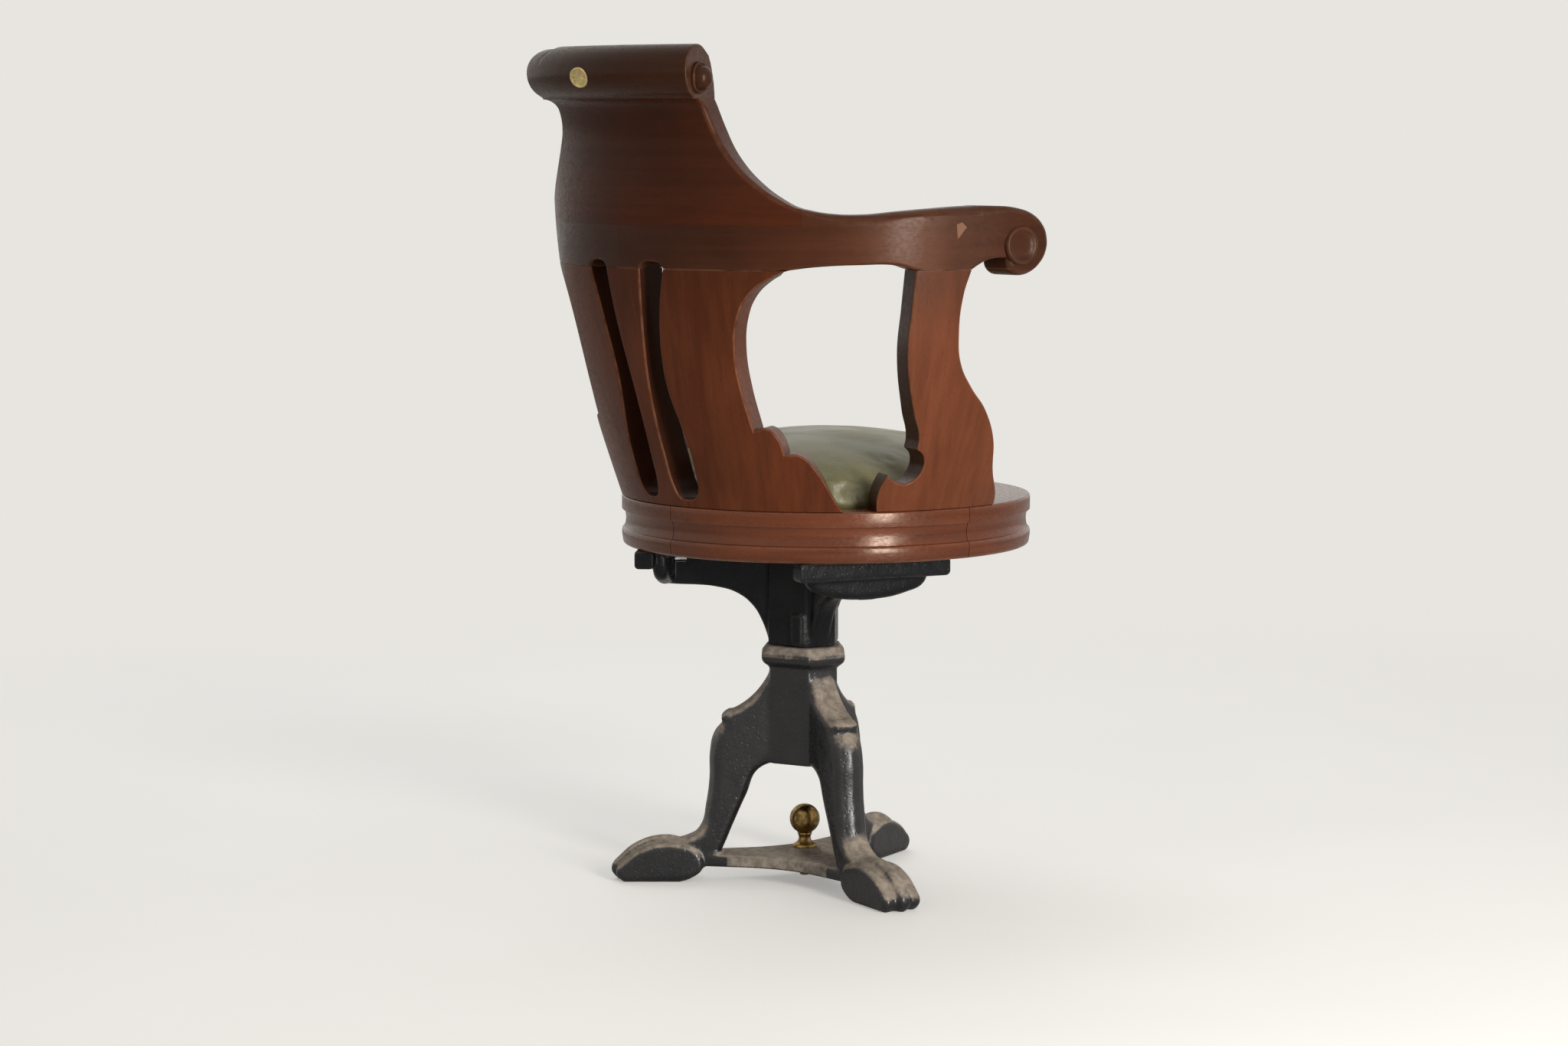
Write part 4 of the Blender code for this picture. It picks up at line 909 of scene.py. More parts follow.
def cushion_shape(shrink):
    """The pad before it is stuffed: a dome on a flat underside, a little under its full size."""
    rise = CUSHION_CROWN - CUSHION_BOTTOM - shrink
    dome = [(0.0, 1.0), (0.14, 0.997), (0.27, 0.985), (0.40, 0.957), (0.515, 0.915), (0.63, 0.86)]
    dome += [(0.735, 0.79), (0.82, 0.712), (0.887, 0.625), (0.937, 0.54), (0.972, 0.45)]
    dome += [(0.992, 0.375), (1.0, 0.305), (0.989, 0.185)]
    side = CUSHION_SIDE - shrink
    profile = [(side * out, CUSHION_BOTTOM + rise * up) for out, up in dome]
    rim = CUSHION_RIM - shrink * 0.3
    profile += [(rim, CUSHION_BOTTOM + 0.006), (rim * 0.985, CUSHION_BOTTOM + 0.001)]
    profile += [(rim * 0.95, CUSHION_BOTTOM), (0.0, CUSHION_BOTTOM)]
    return profile


def stuffed(pad, held, cap):
    """Blows the pad up against its tacked edge, as stuffing would, and no further than cap."""
    before = [vert.co.copy() for vert in pad.data.vertices]
    tacks = pad.vertex_groups.new(name="tacks")
    tacks.add([number for number, place in enumerate(before) if held(place)], 1.0, "REPLACE")
    stuffing = pad.modifiers.new("stuffing", "CLOTH")
    cloth = stuffing.settings
    cloth.quality = 6
    cloth.mass = 0.3
    cloth.tension_stiffness = 18.0
    cloth.compression_stiffness = 18.0
    cloth.shear_stiffness = 8.0
    cloth.bending_stiffness = 0.6
    cloth.vertex_group_mass = "tacks"
    cloth.use_pressure = True
    cloth.uniform_pressure_force = 4.0
    cloth.effector_weights.gravity = 0.0
    stuffing.point_cache.frame_end = 20
    scene = bpy.context.scene
    for moment in range(1, 21):
        scene.frame_set(moment)
    settled(pad)
    scene.frame_set(1)
    for vert, place in zip(pad.data.vertices, before):
        push = vert.co - place
        if push.length > cap:
            vert.co = place + push.normalized() * cap


def drawn_down(pad):
    """Shallow sit marks on the crown and fine puckers where the leather is pulled under."""
    normals = [vert.normal.copy() for vert in pad.data.vertices]
    for vert, normal in zip(pad.data.vertices, normals):
        x, y, z = vert.co.x, vert.co.y - TUB_Y, vert.co.z
        low = min(max((PUCKER_TOP - z) / CROWN_FADE, 0.0), 1.0) if z > CUSHION_BOTTOM + 0.004 else 0.0
        turn = math.atan2(y, x)
        along, across = math.cos(turn), math.sin(turn)
        waver = noise.noise((along * 2.2, across * 2.2, 3.0))
        pucker = math.sin(turn * PUCKERS + waver * 5.0) * noise.noise((along * 5, across * 5, 8.0))
        sag = noise.noise((x * 11, y * 11, 5.0)) * SAG_DEPTH
        sag += noise.noise((x * 34, y * 34, 9.0)) * WRINKLE_DEPTH
        top = min(max((z - CROWN_FOOT) / CROWN_FADE, 0.0), 1.0)
        vert.co += normal * (pucker * PUCKER_DEPTH * low + sag * top)


cushion = lathe("leather_seat", cushion_shape(0.004), 72, lifted(0.0, 0.0, TUB_Y))
remesh = cushion.modifiers.new("even", "REMESH")
remesh.mode = "VOXEL"
remesh.voxel_size = 0.005
settled(cushion)
stuffed(cushion, lambda place: place.z < CUSHION_BOTTOM + 0.011, 0.006)
smooth = cushion.modifiers.new("fine", "SUBSURF")
smooth.levels = 1
smooth.render_levels = 1
settled(cushion)
drawn_down(cushion)
cushion.data.shade_smooth()


def green_leather(name):
    """Dark green hide: fine pebbled grain, a few creases, and polish that varies in patches."""
    look, _, shader, place = finish(name)
    pebbles = cells(place, 620.0)
    fine = cloud(place, 900.0, 3.0)
    crease = sums("SUBTRACT", cloud(place, 24.0, 2.0, distortion=1.2), 0.5)
    crease = ramp(sums("ABSOLUTE", crease, 0.0), 0.0, 0.016, 1.0, 0.0)
    crease = scaled(crease, ramp(cloud(place, 11.0, 2.0), 0.52, 0.66))
    dye = ramp(cloud(place, 16.0, 4.0), 0.34, 0.70)
    tone = blend(dye, (0.112, 0.108, 0.042), (0.178, 0.164, 0.070))
    tone = blend(scaled(ramp(pebbles, 0.15, 0.6), 0.35), tone, (0.215, 0.202, 0.106))
    tone = blend(scaled(crease, 0.35), tone, (0.048, 0.052, 0.022))
    gloss = ramp(sums("ADD", fine, dye), 0.6, 1.4, 0.34, 0.52)
    fill(shader, {"Base Color": tone, "Roughness": gloss, "Coat Weight": 0.25, "Coat Roughness": 0.30})
    skin = sums("SUBTRACT", scaled(fine, 0.4), scaled(pebbles, 0.6))
    skin = sums("SUBTRACT", skin, scaled(crease, 0.7))
    roughen(shader, skin, 0.35, 0.0006)
    return look


cushion.data.materials.clear()
cushion.data.materials.append(green_leather("green_leather"))
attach(cushion, "seat")
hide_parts("seat_cushion")


# ---------------------------------------------------------------- splat, side panels and arm posts
# The uprights of the tub, bent from 35 mm boards with the grain standing: a narrow splat between
# two slots, a panel each side with a scalloped front edge, and a notched post under each arm.
# They are pegged to the ring and the arms, so those joints are square and their saw-cut edges are eased.
# The edge faces in the slots and at the back of each post are painted dark, as painted shade.
BOARD = 0.035
UPRIGHT_BOTTOM = 0.4129
UPRIGHT_HEIGHT = 0.2437
UPRIGHT_TOP = UPRIGHT_BOTTOM + UPRIGHT_HEIGHT
COMB_TOP = 0.8247
BEND_RADIUS = 0.25075
EASED = 0.0024
WIDEST_ROUND = 0.012
CORNER_ROOM = 0.0036
SLOT_SIDES = 14.0
POST_BACK = (59.0, 73.0)
PANEL_CORNER = (33.0, 40.0)
FEATHER = 0.0040
SLOT_JOINT = 7.4
SLOT_END = 0.008 / UPRIGHT_HEIGHT


def tub_radius(height, turn):
    """The tub's outer face: it flares with height, splays to the arms and sweeps out under the crest."""
    rise = min(max((height - RING_TOP) / 0.330, 0.0), 1.0)
    lift = min(max((height - RING_TOP) / UPRIGHT_HEIGHT, 0.0), 1.0)
    past = max(abs(turn) - math.radians(65.0), 0.0)
    sweep = max((height - COMB_TOP) / 0.040 + 1.0, 0.0)
    flare = 0.0695 * math.sin(rise * math.pi / 2)
    return RING_RADIUS + flare + 0.055 * lift * past**2 + 0.011 * sweep**2


def around_tub(turn, radius, height):
    return Vector((-radius * math.sin(turn), TUB_Y + radius * math.cos(turn), height))


def tub_point(turn, depth, height):
    return around_tub(turn, tub_radius(height, turn) - depth, height)


def cut_across(solid, axis, place):
    normal = Vector((0, 0, 0))
    normal[axis] = 1
    everything = solid.verts[:] + solid.edges[:] + solid.faces[:]
    bmesh.ops.bisect_plane(solid, geom=everything, dist=0.0002, plane_co=normal * place, plane_no=normal)


def sliced(solid, axis, spacing):
    """Cuts across a board at even spacing, so that it bends smoothly."""
    places = [vert.co[axis] for vert in solid.verts]
    for step in range(math.floor(min(places) / spacing) + 1, math.ceil(max(places) / spacing)):
        cut_across(solid, axis, step * spacing)


def bent_board(name, outline, eased, swell=None, rows=()):
    """A board sawn to knots of turn and height, its edges rounded by eased(turn, height), then bent.

    swell(turn, height, face) thickens it, with face from -1 inside the tub to 1 outside; rows are
    further heights to cut across at, where the swelling is quick.
    """
    flat = [(math.radians(turn) * BEND_RADIUS, height, *corner) for turn, height, *corner in outline]
    solid = slab(flat, BOARD)
    bmesh.ops.dissolve_limit(solid, angle_limit=math.radians(0.5), verts=solid.verts, edges=solid.edges)
    corners = [Vector((across, up)) for across, up, *corner in flat if corner]
    crowding = []
    for edge in solid.edges:
        start, end = (vert.co.xy for vert in edge.verts)
        nearest = min((start - place).length for place in corners)
        if (start - end).length < 0.00001 and 0.00001 < nearest < CORNER_ROOM:
            crowding.append(edge)
    bmesh.ops.dissolve_edges(solid, edges=crowding, use_verts=True)
    weight = solid.edges.layers.float.new("bevel_weight_edge")
    for edge in solid.edges:
        faces = [abs(face.normal.z) > 0.5 for face in edge.link_faces]
        if len(faces) == 2 and faces[0] != faces[1]:
            middle = (edge.verts[0].co + edge.verts[1].co) / 2
            edge[weight] = eased(math.degrees(middle.x / BEND_RADIUS), middle.y) / WIDEST_ROUND
    board = joined(name, [solid])
    ease = board.modifiers.new("ease", "BEVEL")
    ease.limit_method = "WEIGHT"
    ease.width = WIDEST_ROUND
    ease.segments = 4
    ease.use_clamp_overlap = False
    settled(board)
    solid = opened(board)
    cleaned(solid)
    sliced(solid, 0, math.radians(2.5) * BEND_RADIUS)
    sliced(solid, 1, 0.010)
    for row in rows:
        cut_across(solid, 1, row)
    # Painted shade: marks the edge faces in the slots and at the back of each post, away from the broad
    # faces, to be painted dark.
    painted_shade = solid.verts.layers.float.new("painted_shade")
    for vert in solid.verts:
        turn = vert.co.x / BEND_RADIUS
        out = vert.co.z
        around = abs(math.degrees(turn))
        dark = around < SLOT_SIDES or POST_BACK[0] < around < POST_BACK[1]
        vert[painted_shade] = min((1.0 - abs(out) / BOARD * 2) * 8.0, 1.0) if dark else 0.0
        if swell:
            out += swell(math.degrees(turn), vert.co.y, out / BOARD * 2)
        vert.co = tub_point(turn, BOARD / 2 - out, vert.co.y)
    cleaned(solid)
    closed(solid, board)
    return board


def evened(board):
    """Keeps the shading of the broad faces true beside their rounded edges."""
    board.data.shade_smooth()
    board.data.set_sharp_from_angle(angle=math.radians(40))
    even = board.modifiers.new("even", "WEIGHTED_NORMAL")
    even.keep_sharp = True
    settled(board)


def both_sides(half):
    return half + [(-turn, up, *corner) for turn, up, *corner in reversed(half)]


def mirrored(outline, side):
    return [(turn * side, height, *corner) for turn, height, *corner in outline]


def standing(shape):
    return [(turn, UPRIGHT_BOTTOM + up * UPRIGHT_HEIGHT, *corner) for turn, up, *corner in shape]


def upright_ease(turn, height):
    """Square at the joints and at a panel's thin corner under the arm, and eased elsewhere."""
    thin = FEATHER if PANEL_CORNER[0] < abs(turn) < PANEL_CORNER[1] else 0.0005
    if height < UPRIGHT_BOTTOM + 0.0005 or height > UPRIGHT_TOP - thin:
        return 0.0
    if abs(abs(turn) - SLOT_JOINT) < 0.3 and height < UPRIGHT_BOTTOM + 0.008:
        return 0.0
    return EASED


slot_foot = SLOT_JOINT - 0.095
splat = [(slot_foot, 0.0, True), (slot_foot, SLOT_END, True), (4.8, 0.040), (3.4, 0.085)]
splat += [(2.8, 0.20), (2.6, 0.36), (3.0, 0.54), (4.0, 0.72), (4.8, 0.87)]
splat += [(5.4, 1.0, True)]
panel = [(SLOT_JOINT, 0.0, True), (SLOT_JOINT, SLOT_END, True), (9.8, 0.040), (11.5, 0.075)]
panel += [(11.8, 0.14), (11.3, 0.27), (10.1, 0.36), (8.4, 0.50), (8.2, 0.62)]
panel += [(8.9, 0.75), (10.0, 0.87), (11.7, 1.0, True), (39.4, 1.0, True), (34.4, 0.95)]
panel += [(30.9, 0.89), (28.6, 0.807), (27.4, 0.678), (28.0, 0.516), (30.1, 0.339, True)]
panel += [(33.1, 0.352), (36.2, 0.300), (37.2, 0.243, True), (41.0, 0.240)]
panel += [(45.6, 0.163), (49.4, 0.060), (52.0, 0.0, True)]
post = [(61.0, 0.0, True), (60.8, 0.065), (61.8, 0.117), (63.1, 0.155, True), (65.2, 0.128)]
post += [(68.6, 0.118), (72.0, 0.165), (72.2, 0.225), (70.0, 0.262, True), (70.2, 0.305)]
post += [(67.9, 0.421), (65.2, 0.647), (65.4, 0.85), (65.8, 1.0, True), (78.2, 1.0, True)]
post += [(76.9, 0.90), (76.8, 0.74), (78.3, 0.614), (81.9, 0.516), (87.0, 0.421)]
post += [(92.0, 0.290), (95.2, 0.150), (99.8, 0.034), (100.4, 0.0, True)]

# Posts and panels darken towards the top under the arm, and carry painted shade on their marked edge faces.
post_wood = varnished(
    "post_mahogany", (0.160, 0.045, 0.018), (0.104, 0.028, 0.011), (0.330, 0.150, 0.085), 0.25,
    darker_bands=((2, 0.585, 0.650, 0.60),), painted_shade=0.75, seam=UPRIGHT_TOP,
)
panel_wood = varnished(
    "panel_mahogany", (0.136, 0.036, 0.013), (0.084, 0.021, 0.008), (0.330, 0.150, 0.085), 0.30,
    darker_bands=((2, 0.560, 0.660, 0.35),), shine=0.11, painted_shade=0.75, seam=UPRIGHT_TOP,
)
uprights = [("splat", "centre_splat", standing(both_sides(splat)))]
for word, side in (("right", 1), ("left", -1)):
    uprights.append((f"panel_{word}", f"side_panel_{word}", mirrored(standing(panel), side)))
    uprights.append((f"post_{word}", f"arm_post_{word}", mirrored(standing(post), side)))
for number, (name, node, outline) in enumerate(uprights):
    board = bent_board(name, outline, upright_ease)
    evened(board)
    worked(board, "up", 0.9 * number, post_wood if "post" in name else panel_wood)
    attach(board, "seat")
    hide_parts(node)


# ---------------------------------------------------------------- arms
# Two mahogany bows that meet behind the splat and run forward over the posts, rounded on top for
# the hand. Each ends in a carved roll that turns down under itself like a wave.
ARM_BOTTOM = 0.6569
ARM_HEIGHT = 0.061
ARM_BACK = 0.0432
COMB_END = 42.5
NOTCH_TURN = 85.7
NOTCH_UP = 0.0108
SCROLL_TURN = 89.1
SCROLL_WIDTH = 0.041
SCROLL_START = 85.0
UNDER_ROUND = 0.0030
TOP_ROUND = 0.0045
FULL_ROUND = 0.0105
SCROLL_ROUND = 0.0055
ROUND_A_DEGREE = 0.0006
SWELL = 0.0031
SWELL_LENGTH = 13.0


def arm_ease(turn, height):
    """Square at the joints, rounder on top as the arm runs forward, and less so round its scroll."""
    turn, up = abs(turn), height - ARM_BOTTOM
    on_upright = abs(up) < 0.0005 and turn < 78.5 and not 39.4 < turn < 65.8
    under_comb = turn < 0.1 or turn < COMB_END + 0.1 and up > ARM_BACK - 0.0005
    if on_upright or under_comb:
        return 0.0
    if up < 0.02 and turn < NOTCH_TURN:
        return UNDER_ROUND
    growing = TOP_ROUND + (turn - COMB_END) * ROUND_A_DEGREE
    easing = SCROLL_ROUND + max(SCROLL_START - turn, 0.0) * ROUND_A_DEGREE
    return min(growing, FULL_ROUND, easing)


def arm_swell(turn, height, face):
    """An arm thickens on both faces as it runs into its scroll, sooner inside than outside."""
    start = 68.0 if face < 0 else 75.0
    toward = min(max((abs(turn) - start) / SWELL_LENGTH, 0.0), 1.0)
    return face * SWELL * toward**2 * (3 - 2 * toward)


def scroll_frame(side):
    """The middle of an arm's scroll, with +Z out of the chair along its axis."""
    turn = math.radians(SCROLL_TURN)
    height = ARM_BOTTOM + 0.0235
    ahead = tub_point(turn + 0.01, BOARD / 2, height) - tub_point(turn - 0.01, BOARD / 2, height)
    outward = Vector((ahead.y, -ahead.x, 0)).normalized()
    if outward.x > 0:
        outward = -outward
    place = tub_point(turn, BOARD / 2, height)
    outward.x *= side
    place.x *= side
    return Matrix.Translation(place) @ outward.to_track_quat("Z", "Y").to_matrix().to_4x4()


arm = [(0.01, 0.0, True), (5.4, 0.0, True), (6.2, 0.075), (8.6, 0.110), (10.8, 0.075)]
arm += [(11.7, 0.0, True), (39.4, 0.0, True), (45.0, 0.055), (54.0, 0.09), (62.0, 0.08)]
arm += [(65.8, 0.0, True), (78.2, 0.0, True), (79.6, 0.075), (81.4, 0.150), (83.6, 0.185)]
arm += [(NOTCH_TURN, NOTCH_UP / ARM_HEIGHT, True), (85.9, 0.05), (87.1, -0.06), (89.1, -0.11)]
arm += [(91.6, -0.07), (93.8, 0.07), (95.1, 0.28), (95.1, 0.50), (93.9, 0.72)]
arm += [(91.5, 0.890), (88.0, 0.990), (82.5, 1.030), (76.5, 1.020), (70.0, 0.990)]
arm += [(63.0, 0.950), (54.8, 0.898), (47.8, 0.915), (COMB_END + 0.01, 0.985, True)]
arm += [(COMB_END + 0.01, ARM_BACK / ARM_HEIGHT, True), (0.01, ARM_BACK / ARM_HEIGHT, True)]
arm = [(turn, ARM_BOTTOM + up * ARM_HEIGHT, *corner) for turn, up, *corner in arm]
chip_sides = [(-0.18, -0.66, 0.70), (-0.20, -0.74, -0.60), (0.22, 0.82, -0.10), (0.10, 0.30, 0.80)]
chip_sides += [(0.97, -0.25, 0.0)]
arm_chip = ((-0.2762, 0.0430, 0.6985), chip_sides)
arm_wood = varnished(
    "arm_mahogany", (0.094, 0.027, 0.011), (0.060, 0.017, 0.007), (0.300, 0.155, 0.095), 0.06,
    darker_bands=((1, 0.120, 0.240, 0.60), (1, 0.085, 0.030, 0.65)), rough=0.33, seam=ARM_BOTTOM, chip=arm_chip,
)
for word, side in (("right", 1), ("left", -1)):
    bow = bent_board(f"arm_bow_{word}", mirrored(arm, side), arm_ease, arm_swell)
    evened(bow)
    worked(bow, "round", 2.0 + side, arm_wood)
    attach(bow, "seat")
    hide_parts(f"arm_{word}")


# ---------------------------------------------------------------- roundels
# A turned mahogany roundel is let on to the outer face of each scroll: a rounded rim round a
# shallow dish, the eye of the scroll.
roundel = [(0.0, 0.0008), (0.0070, 0.0009), (0.0108, 0.0013), (0.0130, 0.0021), (0.0146, 0.0030)]
roundel += [(0.0160, 0.0035), (0.0172, 0.0034), (0.0182, 0.0028), (0.0190, 0.0018), (0.0195, 0.0006)]
roundel += [(0.0196, -0.0012), (0.0, -0.0012)]
for word, side in (("right", 1), ("left", -1)):
    eye = lathe(f"roundel_{word}", roundel, 64, scroll_frame(side) @ lifted(SCROLL_WIDTH / 2))
    worked(eye, "round", 4.0 + side, arm_wood)
    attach(eye, "seat")
    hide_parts(f"scroll_roundel_{word}")


# ---------------------------------------------------------------- comb
# The broad board over the middle of the arm bow. Its ends sweep down into the arms and its top
# bends back under the crest. It is darker than the rest, with polish built up near the top.
COMB_BOTTOM = 0.7002
COMB_HEIGHT = 0.1245
COVE = 0.0110
COVE_OUT = 0.0115
comb_step = (ARM_HEIGHT * 0.985 - ARM_BACK) / COMB_HEIGHT


def comb_ease(turn, height):
    """Square on the arms and under the crest, rounded on the sweeping ends."""
    level = min(abs(height - COMB_BOTTOM), abs(height - COMB_TOP)) < 0.0005
    if level or abs(turn) > COMB_END - 0.02:
        return 0.0
    return 0.0045 + min((COMB_END - abs(turn)) * 0.0002, 0.0012)


def comb_cove(turn, height, face):
    """The comb's back turns out in a small cove to meet the roll of the crest."""
    rise = min(max((height - COMB_TOP) / COVE + 1.0, 0.0), 1.0)
    return max(face, 0.0) * COVE_OUT * (1.0 - math.sqrt(1.0 - rise**2))


comb = [(COMB_END, 0.0, True), (COMB_END, comb_step, True), (41.0, 0.153), (38.8, 0.195), (34.0, 0.315)]
comb += [(28.2, 0.535), (24.5, 0.785), (22.9, 1.003, True)]
comb = [(turn, COMB_BOTTOM + up * COMB_HEIGHT, *corner) for turn, up, *corner in both_sides(comb)]
comb_wood = varnished(
    "comb_mahogany", (0.082, 0.020, 0.007), (0.052, 0.0125, 0.0047), (0.280, 0.140, 0.085), 0.12,
    darker_bands=((2, 0.690, 0.830, 0.60),), shine=0.11,
)
cove_rows = [COMB_TOP - COVE * share for share in (0.8, 0.6, 0.45, 0.3, 0.18, 0.09, 0.03)]
back_comb = bent_board("comb_board", comb, comb_ease, comb_cove, cove_rows)
evened(back_comb)
worked(back_comb, "round", 6.0, comb_wood)
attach(back_comb, "seat")
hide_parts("back_comb")


# ---------------------------------------------------------------- crest rail
# A thick mahogany roll along the top of the comb, leaning out behind it, with a fine bead worked
# under it. The darkest of the wood, and the most handled.
CREST_BOTTOM = 0.8250
CREST_RADIUS = 0.0265
CREST_TURN = 22.6
WORN_FROM = -15.4
DENT_TURN = -16.6
CREST_WEAR = 0.0020
PLATE_LENGTH = 0.029
PLATE_WIDTH = 0.0206
PLATE_TILT = math.radians(13.0)


def cut_away(piece, tool):
    """Cuts the tool's shape out of the piece."""
    cut = piece.modifiers.new("cut", "BOOLEAN")
    cut.operation = "DIFFERENCE"
    cut.solver = "EXACT"
    cut.object = tool
    settled(piece)
    bpy.data.objects.remove(tool)
    solid = opened(piece)
    cleaned(solid)
    closed(solid, piece)


crest_out = tub_radius(COMB_TOP, 0.0)
crest_middle = crest_out + 0.0025
crest_height = CREST_BOTTOM + CREST_RADIUS
inner = crest_out - BOARD
front = ((0.0004, 0.006), (0.0018, 0.015), (0.0046, 0.0245), (0.0086, 0.0345), (0.0132, 0.0425))
crest = [(inner, CREST_BOTTOM)] + [(inner + out, CREST_BOTTOM + up) for out, up in front]
crest += arc((crest_middle, crest_height), CREST_RADIUS, 124, -60, 28)
lip = crest_out + COVE_OUT
crest += [(lip + 0.0010, CREST_BOTTOM + 0.0016), (lip, CREST_BOTTOM - 0.0002)]
crest_wood = varnished(
    "crest_mahogany", (0.052, 0.017, 0.007), (0.024, 0.008, 0.004), (0.200, 0.100, 0.062), 0.26,
    rough=0.28, shine=0.15,
)
crest_rail = moulded("crest_roll", crest, -CREST_TURN, CREST_TURN, crest_wood, 91)
for vert in crest_rail.data.vertices:
    turn = math.degrees(math.atan2(-vert.co.x, vert.co.y - TUB_Y))
    top = min(max((vert.co.z - crest_height - 0.006) / 0.018, 0.0), 1.0)
    worn = min(max((WORN_FROM - turn) / 1.4, 0.0), 1.0)
    dent = math.exp(-(((turn - DENT_TURN) / 0.8) ** 2))
    vert.co.z -= top * (CREST_WEAR * worn + CREST_WEAR * dent)
solid = opened(crest_rail)
weight = solid.edges.layers.float.new("bevel_weight_edge")
for face in solid.faces:
    if len(face.verts) > 4:
        for edge in face.edges:
            edge[weight] = 1.0 if max(vert.co.z for vert in edge.verts) > CREST_BOTTOM + 0.001 else 0.0
closed(solid, crest_rail)
ease = crest_rail.modifiers.new("ease", "BEVEL")
ease.width = 0.0016
ease.segments = 3
ease.limit_method = "WEIGHT"
ease.use_clamp_overlap = False
settled(crest_rail)
turn = math.radians(-2.0)
seat_radius = CREST_RADIUS - 0.0025
seat_height = crest_height - seat_radius * math.sin(PLATE_TILT)
seat_place = around_tub(turn, crest_middle + seat_radius * math.cos(PLATE_TILT), seat_height)
lean = Matrix.Rotation(turn, 4, "Z") @ Matrix.Rotation(-math.pi / 2 - PLATE_TILT, 4, "X")
at_back = Matrix.Translation(seat_place) @ lean
drawn_out = Matrix.Diagonal((PLATE_LENGTH / PLATE_WIDTH, 1.0, 1.0, 1.0))
bit = PLATE_WIDTH / 2 + 0.0001
recess = [(0.0, 0.02), (bit, 0.02), (bit, 0.0), (0.0, 0.0)]
cut_away(crest_rail, lathe("bit", recess, 72, at_back @ drawn_out))
evened(crest_rail)
lay_grain(crest_rail, "round", 8.0)
mark_edges(crest_rail)
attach(crest_rail, "seat")
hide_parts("crest_rail")


# ---------------------------------------------------------------- crest bosses
# A turned boss is pegged to each end of the crest, low on its face: a flat ring round a round
# button that many hands have polished.
BOSS = 0.0158
BUTTON = 0.0122
boss = arc((0.0, 0.0038), BUTTON, 90, 8, 10)
boss = [(radius, 0.0038 + (height - 0.0038) * 0.9) for radius, height in boss]
boss += [(BUTTON * 1.04, 0.0030), (BUTTON * 1.10, 0.0028), (BUTTON * 1.16, 0.0034), (BOSS * 0.93, 0.0039)]
boss += [(BOSS * 0.985, 0.0030), (BOSS, 0.0020), (BOSS, 0.0003), (0.0, 0.0003)]
for word, side in (("right", 1), ("left", -1)):
    turn = math.radians(CREST_TURN) * side
    facing = Matrix.Rotation(turn, 4, "Z") @ Matrix.Rotation(-math.pi / 2 * side, 4, "Y")
    end = Matrix.Translation(around_tub(turn, crest_middle, crest_height - 0.0065)) @ facing
    button = lathe(f"crest_button_{word}", boss, 56, end)
    worked(button, "round", 9.0 + side, crest_wood)
    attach(button, "seat")
    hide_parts(f"crest_boss_{word}")


# ---------------------------------------------------------------- brass plate
# A small blank oval plate let into the back of the crest, a little left of the middle, with a raised
# rim and two pin holes. Cast brass, kept fairly bright by polishing.
plate = [(0.0, 0.0018), (0.0076, 0.0018), (0.0083, 0.0020), (0.0089, 0.0024), (0.0095, 0.0024)]
plate += [(0.0100, 0.0020), (PLATE_WIDTH / 2, 0.0010), (PLATE_WIDTH / 2, 0.0001), (0.0, 0.0001)]
brass_plate = lathe("brass_plate", plate, 72, at_back @ drawn_out)
pin_hole = [(0.0, 0.02), (0.0015, 0.02), (0.0015, 0.0007), (0.0, 0.0005)]
for side in (-1, 1):
    cut_away(brass_plate, lathe("pin", pin_hole, 20, at_back @ Matrix.Translation((side * 0.0088, 0, 0))))
mark_edges(brass_plate)
brass_plate.data.materials.clear()
polished_brass = old_brass("polished_brass", (0.70, 0.57, 0.27), (0.42, 0.32, 0.14), 0.60, 0.46)
brass_plate.data.materials.append(polished_brass)
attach(brass_plate, "seat")
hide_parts("crest_plate")


# ---------------------------------------------------------------- floor, light and camera
# A plain pale floor, a soft key light from the camera's right and a wide, weaker one from behind.
FLOOR_TONE = (0.80, 0.79, 0.76)
BACKDROP = (0.98, 0.955, 0.91)
BACKDROP_LEVEL = 0.82
CAMERA_TURN = 228.0
CAMERA_OUT = 3.938
CAMERA_HEIGHT = 0.800
CAMERA_SHIFT = 0.02205
PHOTO_WIDTH_PX = 2048
PHOTO_MIDDLE_PX = 683
HORIZON_PX = 162
FOCAL_PX = 4900
CAMERA_PITCH = math.atan((PHOTO_MIDDLE_PX - HORIZON_PX) / FOCAL_PX)
SENSOR_MM = 36.0
FLOOR_RADIUS = 9.0
FLOOR_SIDES = 64
FLOOR_GLOW = 0.38
LIGHT_AIM = 0.45
floor_mesh = bpy.data.meshes.new("floor")
rim = [(x, y, 0.0) for x, y in round_outline(FLOOR_RADIUS, FLOOR_SIDES)]
floor_mesh.from_pydata(rim, [], [list(range(FLOOR_SIDES))])
floor = new_piece("floor", floor_mesh)
floor_look, tree, shader, place = finish("pale_floor")
pale = blend(ramp(cloud(place, 2.0, 4.0), 0.3, 0.7), FLOOR_TONE, (0.83, 0.82, 0.80))
fill(shader, {"Base Color": pale, "Roughness": 0.65, "Emission Color": (*FLOOR_TONE, 1.0)})
backdrop = add(tree, "ShaderNodeEmission", {"Color": (*BACKDROP, 1.0), "Strength": BACKDROP_LEVEL}).outputs[0]
away = add(tree, "ShaderNodeVectorMath", {0: place}, operation="LENGTH").outputs["Value"]
rays = tree.nodes.new("ShaderNodeLightPath").outputs
fill(shader, {"Emission Strength": scaled(rays["Is Camera Ray"], FLOOR_GLOW)})
far = scaled(ramp(away, 0.8, 2.6), rays["Is Camera Ray"])
merged = add(tree, "ShaderNodeMixShader", {0: far, 1: shader.outputs[0], 2: backdrop}).outputs[0]
tree.links.new(merged, tree.nodes["Material Output"].inputs["Surface"])
floor.data.materials.append(floor_look)


def facing_out(turn, rise=0.0):
    """The direction from the chair to something at a turn and rise, in degrees."""
    turn, rise = math.radians(turn), math.radians(rise)
    return Vector((math.sin(turn) * math.cos(rise), -math.cos(turn) * math.cos(rise), math.sin(rise)))


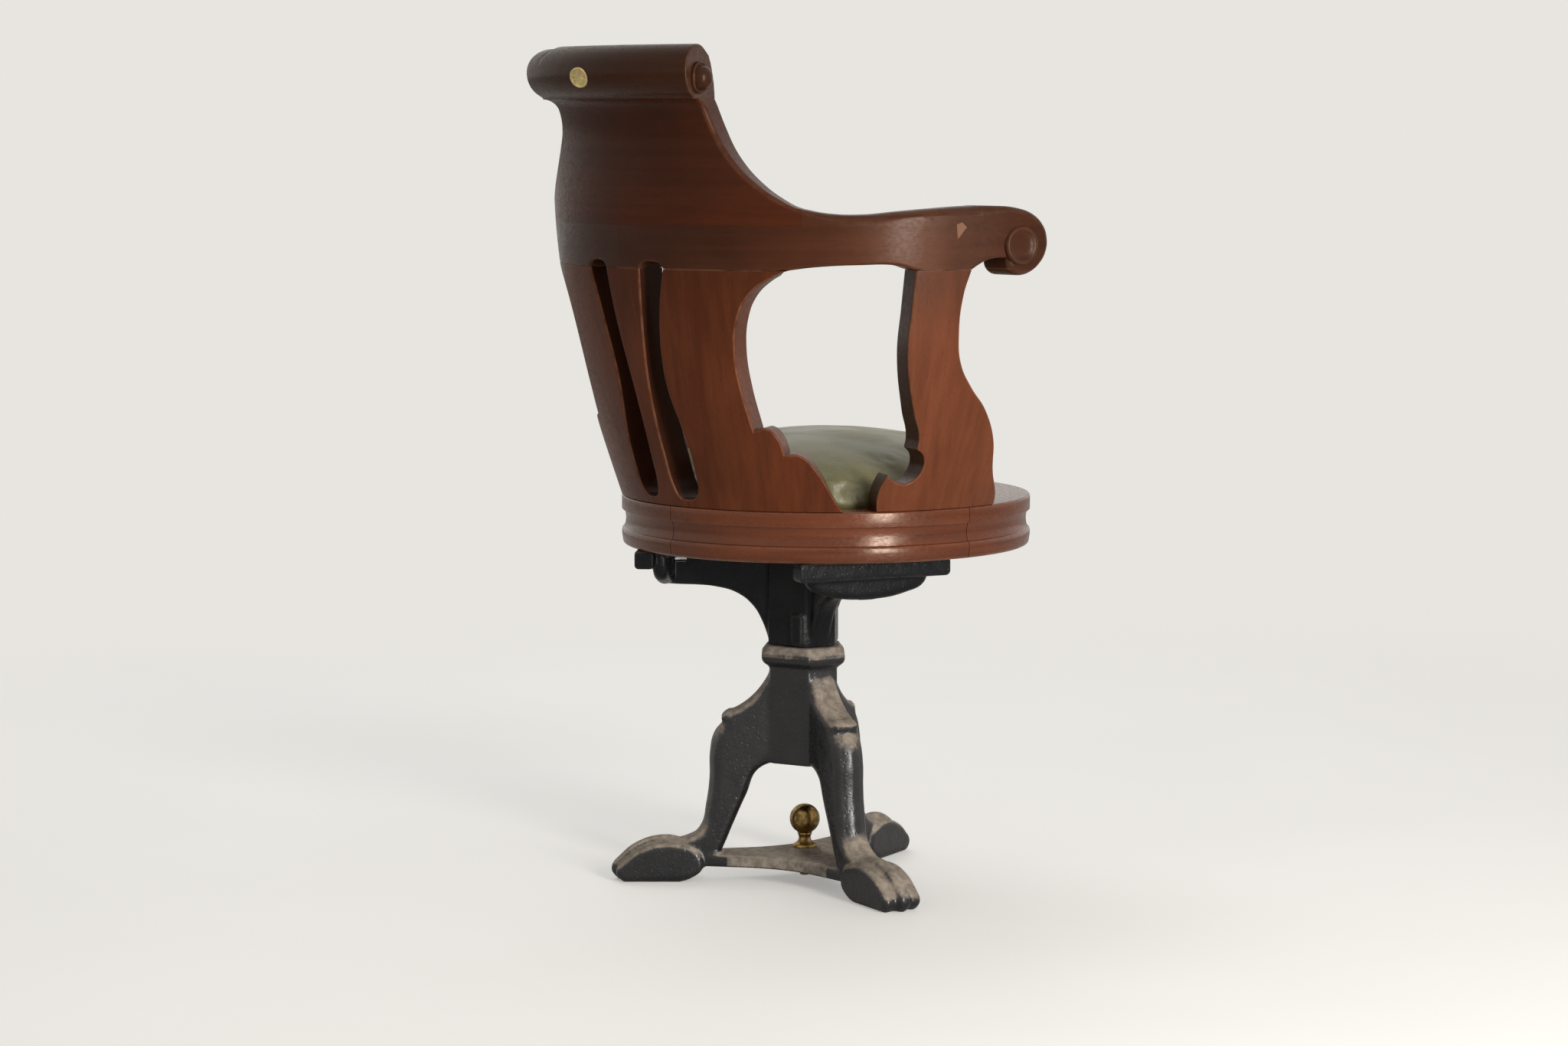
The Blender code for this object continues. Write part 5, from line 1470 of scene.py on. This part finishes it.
def soft_light(name, turn, rise, away, size, watts, tint, shines=True):
    lamp = bpy.data.lights.new(name, "AREA")
    lamp.shape = "RECTANGLE"
    lamp.size, lamp.size_y = size
    lamp.energy = watts
    lamp.color = tint
    holder = bpy.data.objects.new(name, lamp)
    out = facing_out(turn, rise)
    holder.location = Vector((0, 0, LIGHT_AIM)) + out * away
    holder.rotation_euler = out.to_track_quat("Z", "Y").to_euler()
    holder.visible_camera = False
    holder.visible_glossy = shines
    bpy.context.scene.collection.objects.link(holder)


soft_light("key", CAMERA_TURN + 31, 8, 2.8, (0.50, 1.75), 62.0, (1.0, 0.97, 0.93))
soft_light("fill", CAMERA_TURN + 200, 50, 3.2, (2.4, 1.8), 24.0, (0.94, 0.97, 1.0), shines=False)
scene = bpy.context.scene
world = bpy.data.worlds.new("room")
scene.world = world
world.use_nodes = True
tree = world.node_tree
rays = tree.nodes.new("ShaderNodeLightPath").outputs
seen = sums("MAXIMUM", rays["Is Camera Ray"], rays["Is Glossy Ray"])
seen = sums("MAXIMUM", seen, rays["Is Transmission Ray"])
level = add(tree, "ShaderNodeMix", {0: seen, 2: 0.32, 3: BACKDROP_LEVEL}).outputs[0]
sky = tree.nodes["Background"]
fill(sky, {"Color": (*BACKDROP, 1.0), "Strength": level})
scene.view_settings.view_transform = "Standard"

out = facing_out(CAMERA_TURN)
across = Vector((math.cos(math.radians(CAMERA_TURN)), math.sin(math.radians(CAMERA_TURN)), 0.0))
lens = bpy.data.cameras.new("camera")
lens.sensor_fit = "HORIZONTAL"
lens.sensor_width = SENSOR_MM
lens.lens = SENSOR_MM * FOCAL_PX / PHOTO_WIDTH_PX
viewer = bpy.data.objects.new("camera", lens)
viewer.location = out * CAMERA_OUT + Vector((0, 0, CAMERA_HEIGHT)) - across * CAMERA_SHIFT
looking = -out * math.cos(CAMERA_PITCH) - Vector((0, 0, 1)) * math.sin(CAMERA_PITCH)
viewer.rotation_euler = looking.to_track_quat("-Z", "Y").to_euler()
scene.collection.objects.link(viewer)
scene.camera = viewer
